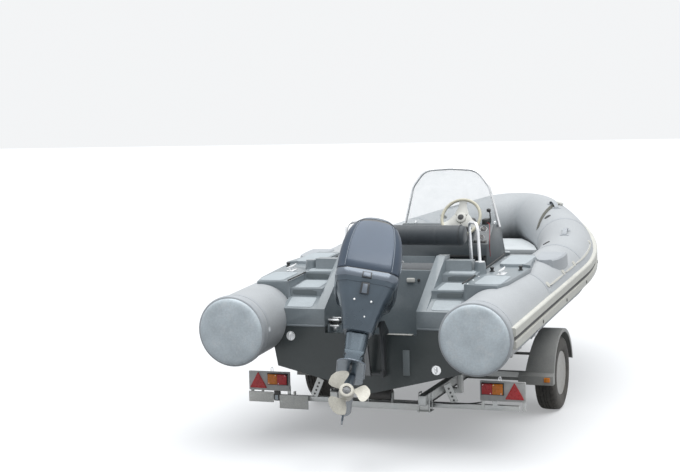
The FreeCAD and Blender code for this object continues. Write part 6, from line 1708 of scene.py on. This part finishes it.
def seen_or_mirrored(tree):
    """One for rays from the camera, mirror rays and rays through the screen, nought for the rest."""
    path = tree.nodes.new("ShaderNodeLightPath").outputs
    seen = combined(tree, "MAXIMUM", path["Is Camera Ray"], path["Is Glossy Ray"])
    return combined(tree, "MAXIMUM", seen, path["Is Transmission Ray"])


def floor_paint():
    """Pale to the eye with the shadow kept, darker for the light it throws back."""
    paint = bpy.data.materials.new("floor_paint")
    paint.use_nodes = True
    tree = paint.node_tree
    tree.nodes.clear()
    pale = node(tree, "ShaderNodeBsdfDiffuse")
    pale.inputs["Color"].default_value = (0.60, 0.61, 0.62, 1)
    glow = node(tree, "ShaderNodeEmission")
    glow.inputs["Color"].default_value = (0.98, 0.99, 1.0, 1)
    glow.inputs["Strength"].default_value = 0.32
    both = node(tree, "ShaderNodeAddShader")
    dim = node(tree, "ShaderNodeBsdfDiffuse")
    dim.inputs["Color"].default_value = (0.24, 0.24, 0.24, 1)
    choice = node(tree, "ShaderNodeMixShader")
    out = node(tree, "ShaderNodeOutputMaterial")
    tree.links.new(pale.outputs[0], both.inputs[0])
    tree.links.new(glow.outputs[0], both.inputs[1])
    tree.links.new(seen_or_mirrored(tree), choice.inputs[0])
    tree.links.new(dim.outputs[0], choice.inputs[1])
    tree.links.new(both.outputs[0], choice.inputs[2])
    tree.links.new(choice.outputs[0], out.inputs["Surface"])
    return paint


def sky():
    world = bpy.data.worlds.new("studio")
    world.use_nodes = True
    tree = world.node_tree
    background = tree.nodes["Background"]
    background.inputs["Color"].default_value = (0.86, 0.92, 1.0, 1)
    background.inputs["Strength"].default_value = 0.34
    shown = tree.nodes.new("ShaderNodeBackground")
    shown.inputs["Color"].default_value = (0.90, 0.91, 0.92, 1)
    shown.inputs["Strength"].default_value = 1.0
    choice = tree.nodes.new("ShaderNodeMixShader")
    tree.links.new(seen_or_mirrored(tree), choice.inputs[0])
    tree.links.new(background.outputs[0], choice.inputs[1])
    tree.links.new(shown.outputs[0], choice.inputs[2])
    tree.links.new(choice.outputs[0], tree.nodes["World Output"].inputs["Surface"])
    bpy.context.scene.world = world


def stage():
    bpy.ops.mesh.primitive_plane_add(size=120, location=(0, 0, 0))
    floor = bpy.context.object
    floor.name = "floor"
    floor.data.materials.append(floor_paint())
    sky()
    cloud = bpy.data.lights.new("cloud", "SUN")
    cloud.energy = 3.2
    cloud.angle = math.radians(75)
    cloud.color = (1, 0.995, 0.985)
    lamp = bpy.data.objects.new("cloud", cloud)
    lamp.rotation_euler = (math.radians(1), math.radians(7), 0)
    bpy.context.collection.objects.link(lamp)
    for name, place, size, power, tint in (
        ("key", (5, -8, 8), 5, 110, (1, 0.98, 0.95)),
        ("fill", (-8, -6, 5), 6, 40, (0.92, 0.96, 1)),
    ):
        data = bpy.data.lights.new(name, "AREA")
        data.size = size
        data.energy = power
        data.color = tint
        lamp = bpy.data.objects.new(name, data)
        lamp.location = place
        lamp.rotation_euler = (Vector((0, 0, 0.8)) - Vector(place)).to_track_quat("-Z", "Y").to_euler()
        bpy.context.collection.objects.link(lamp)


camera()
stage()
bpy.context.scene.view_settings.view_transform = "Standard"
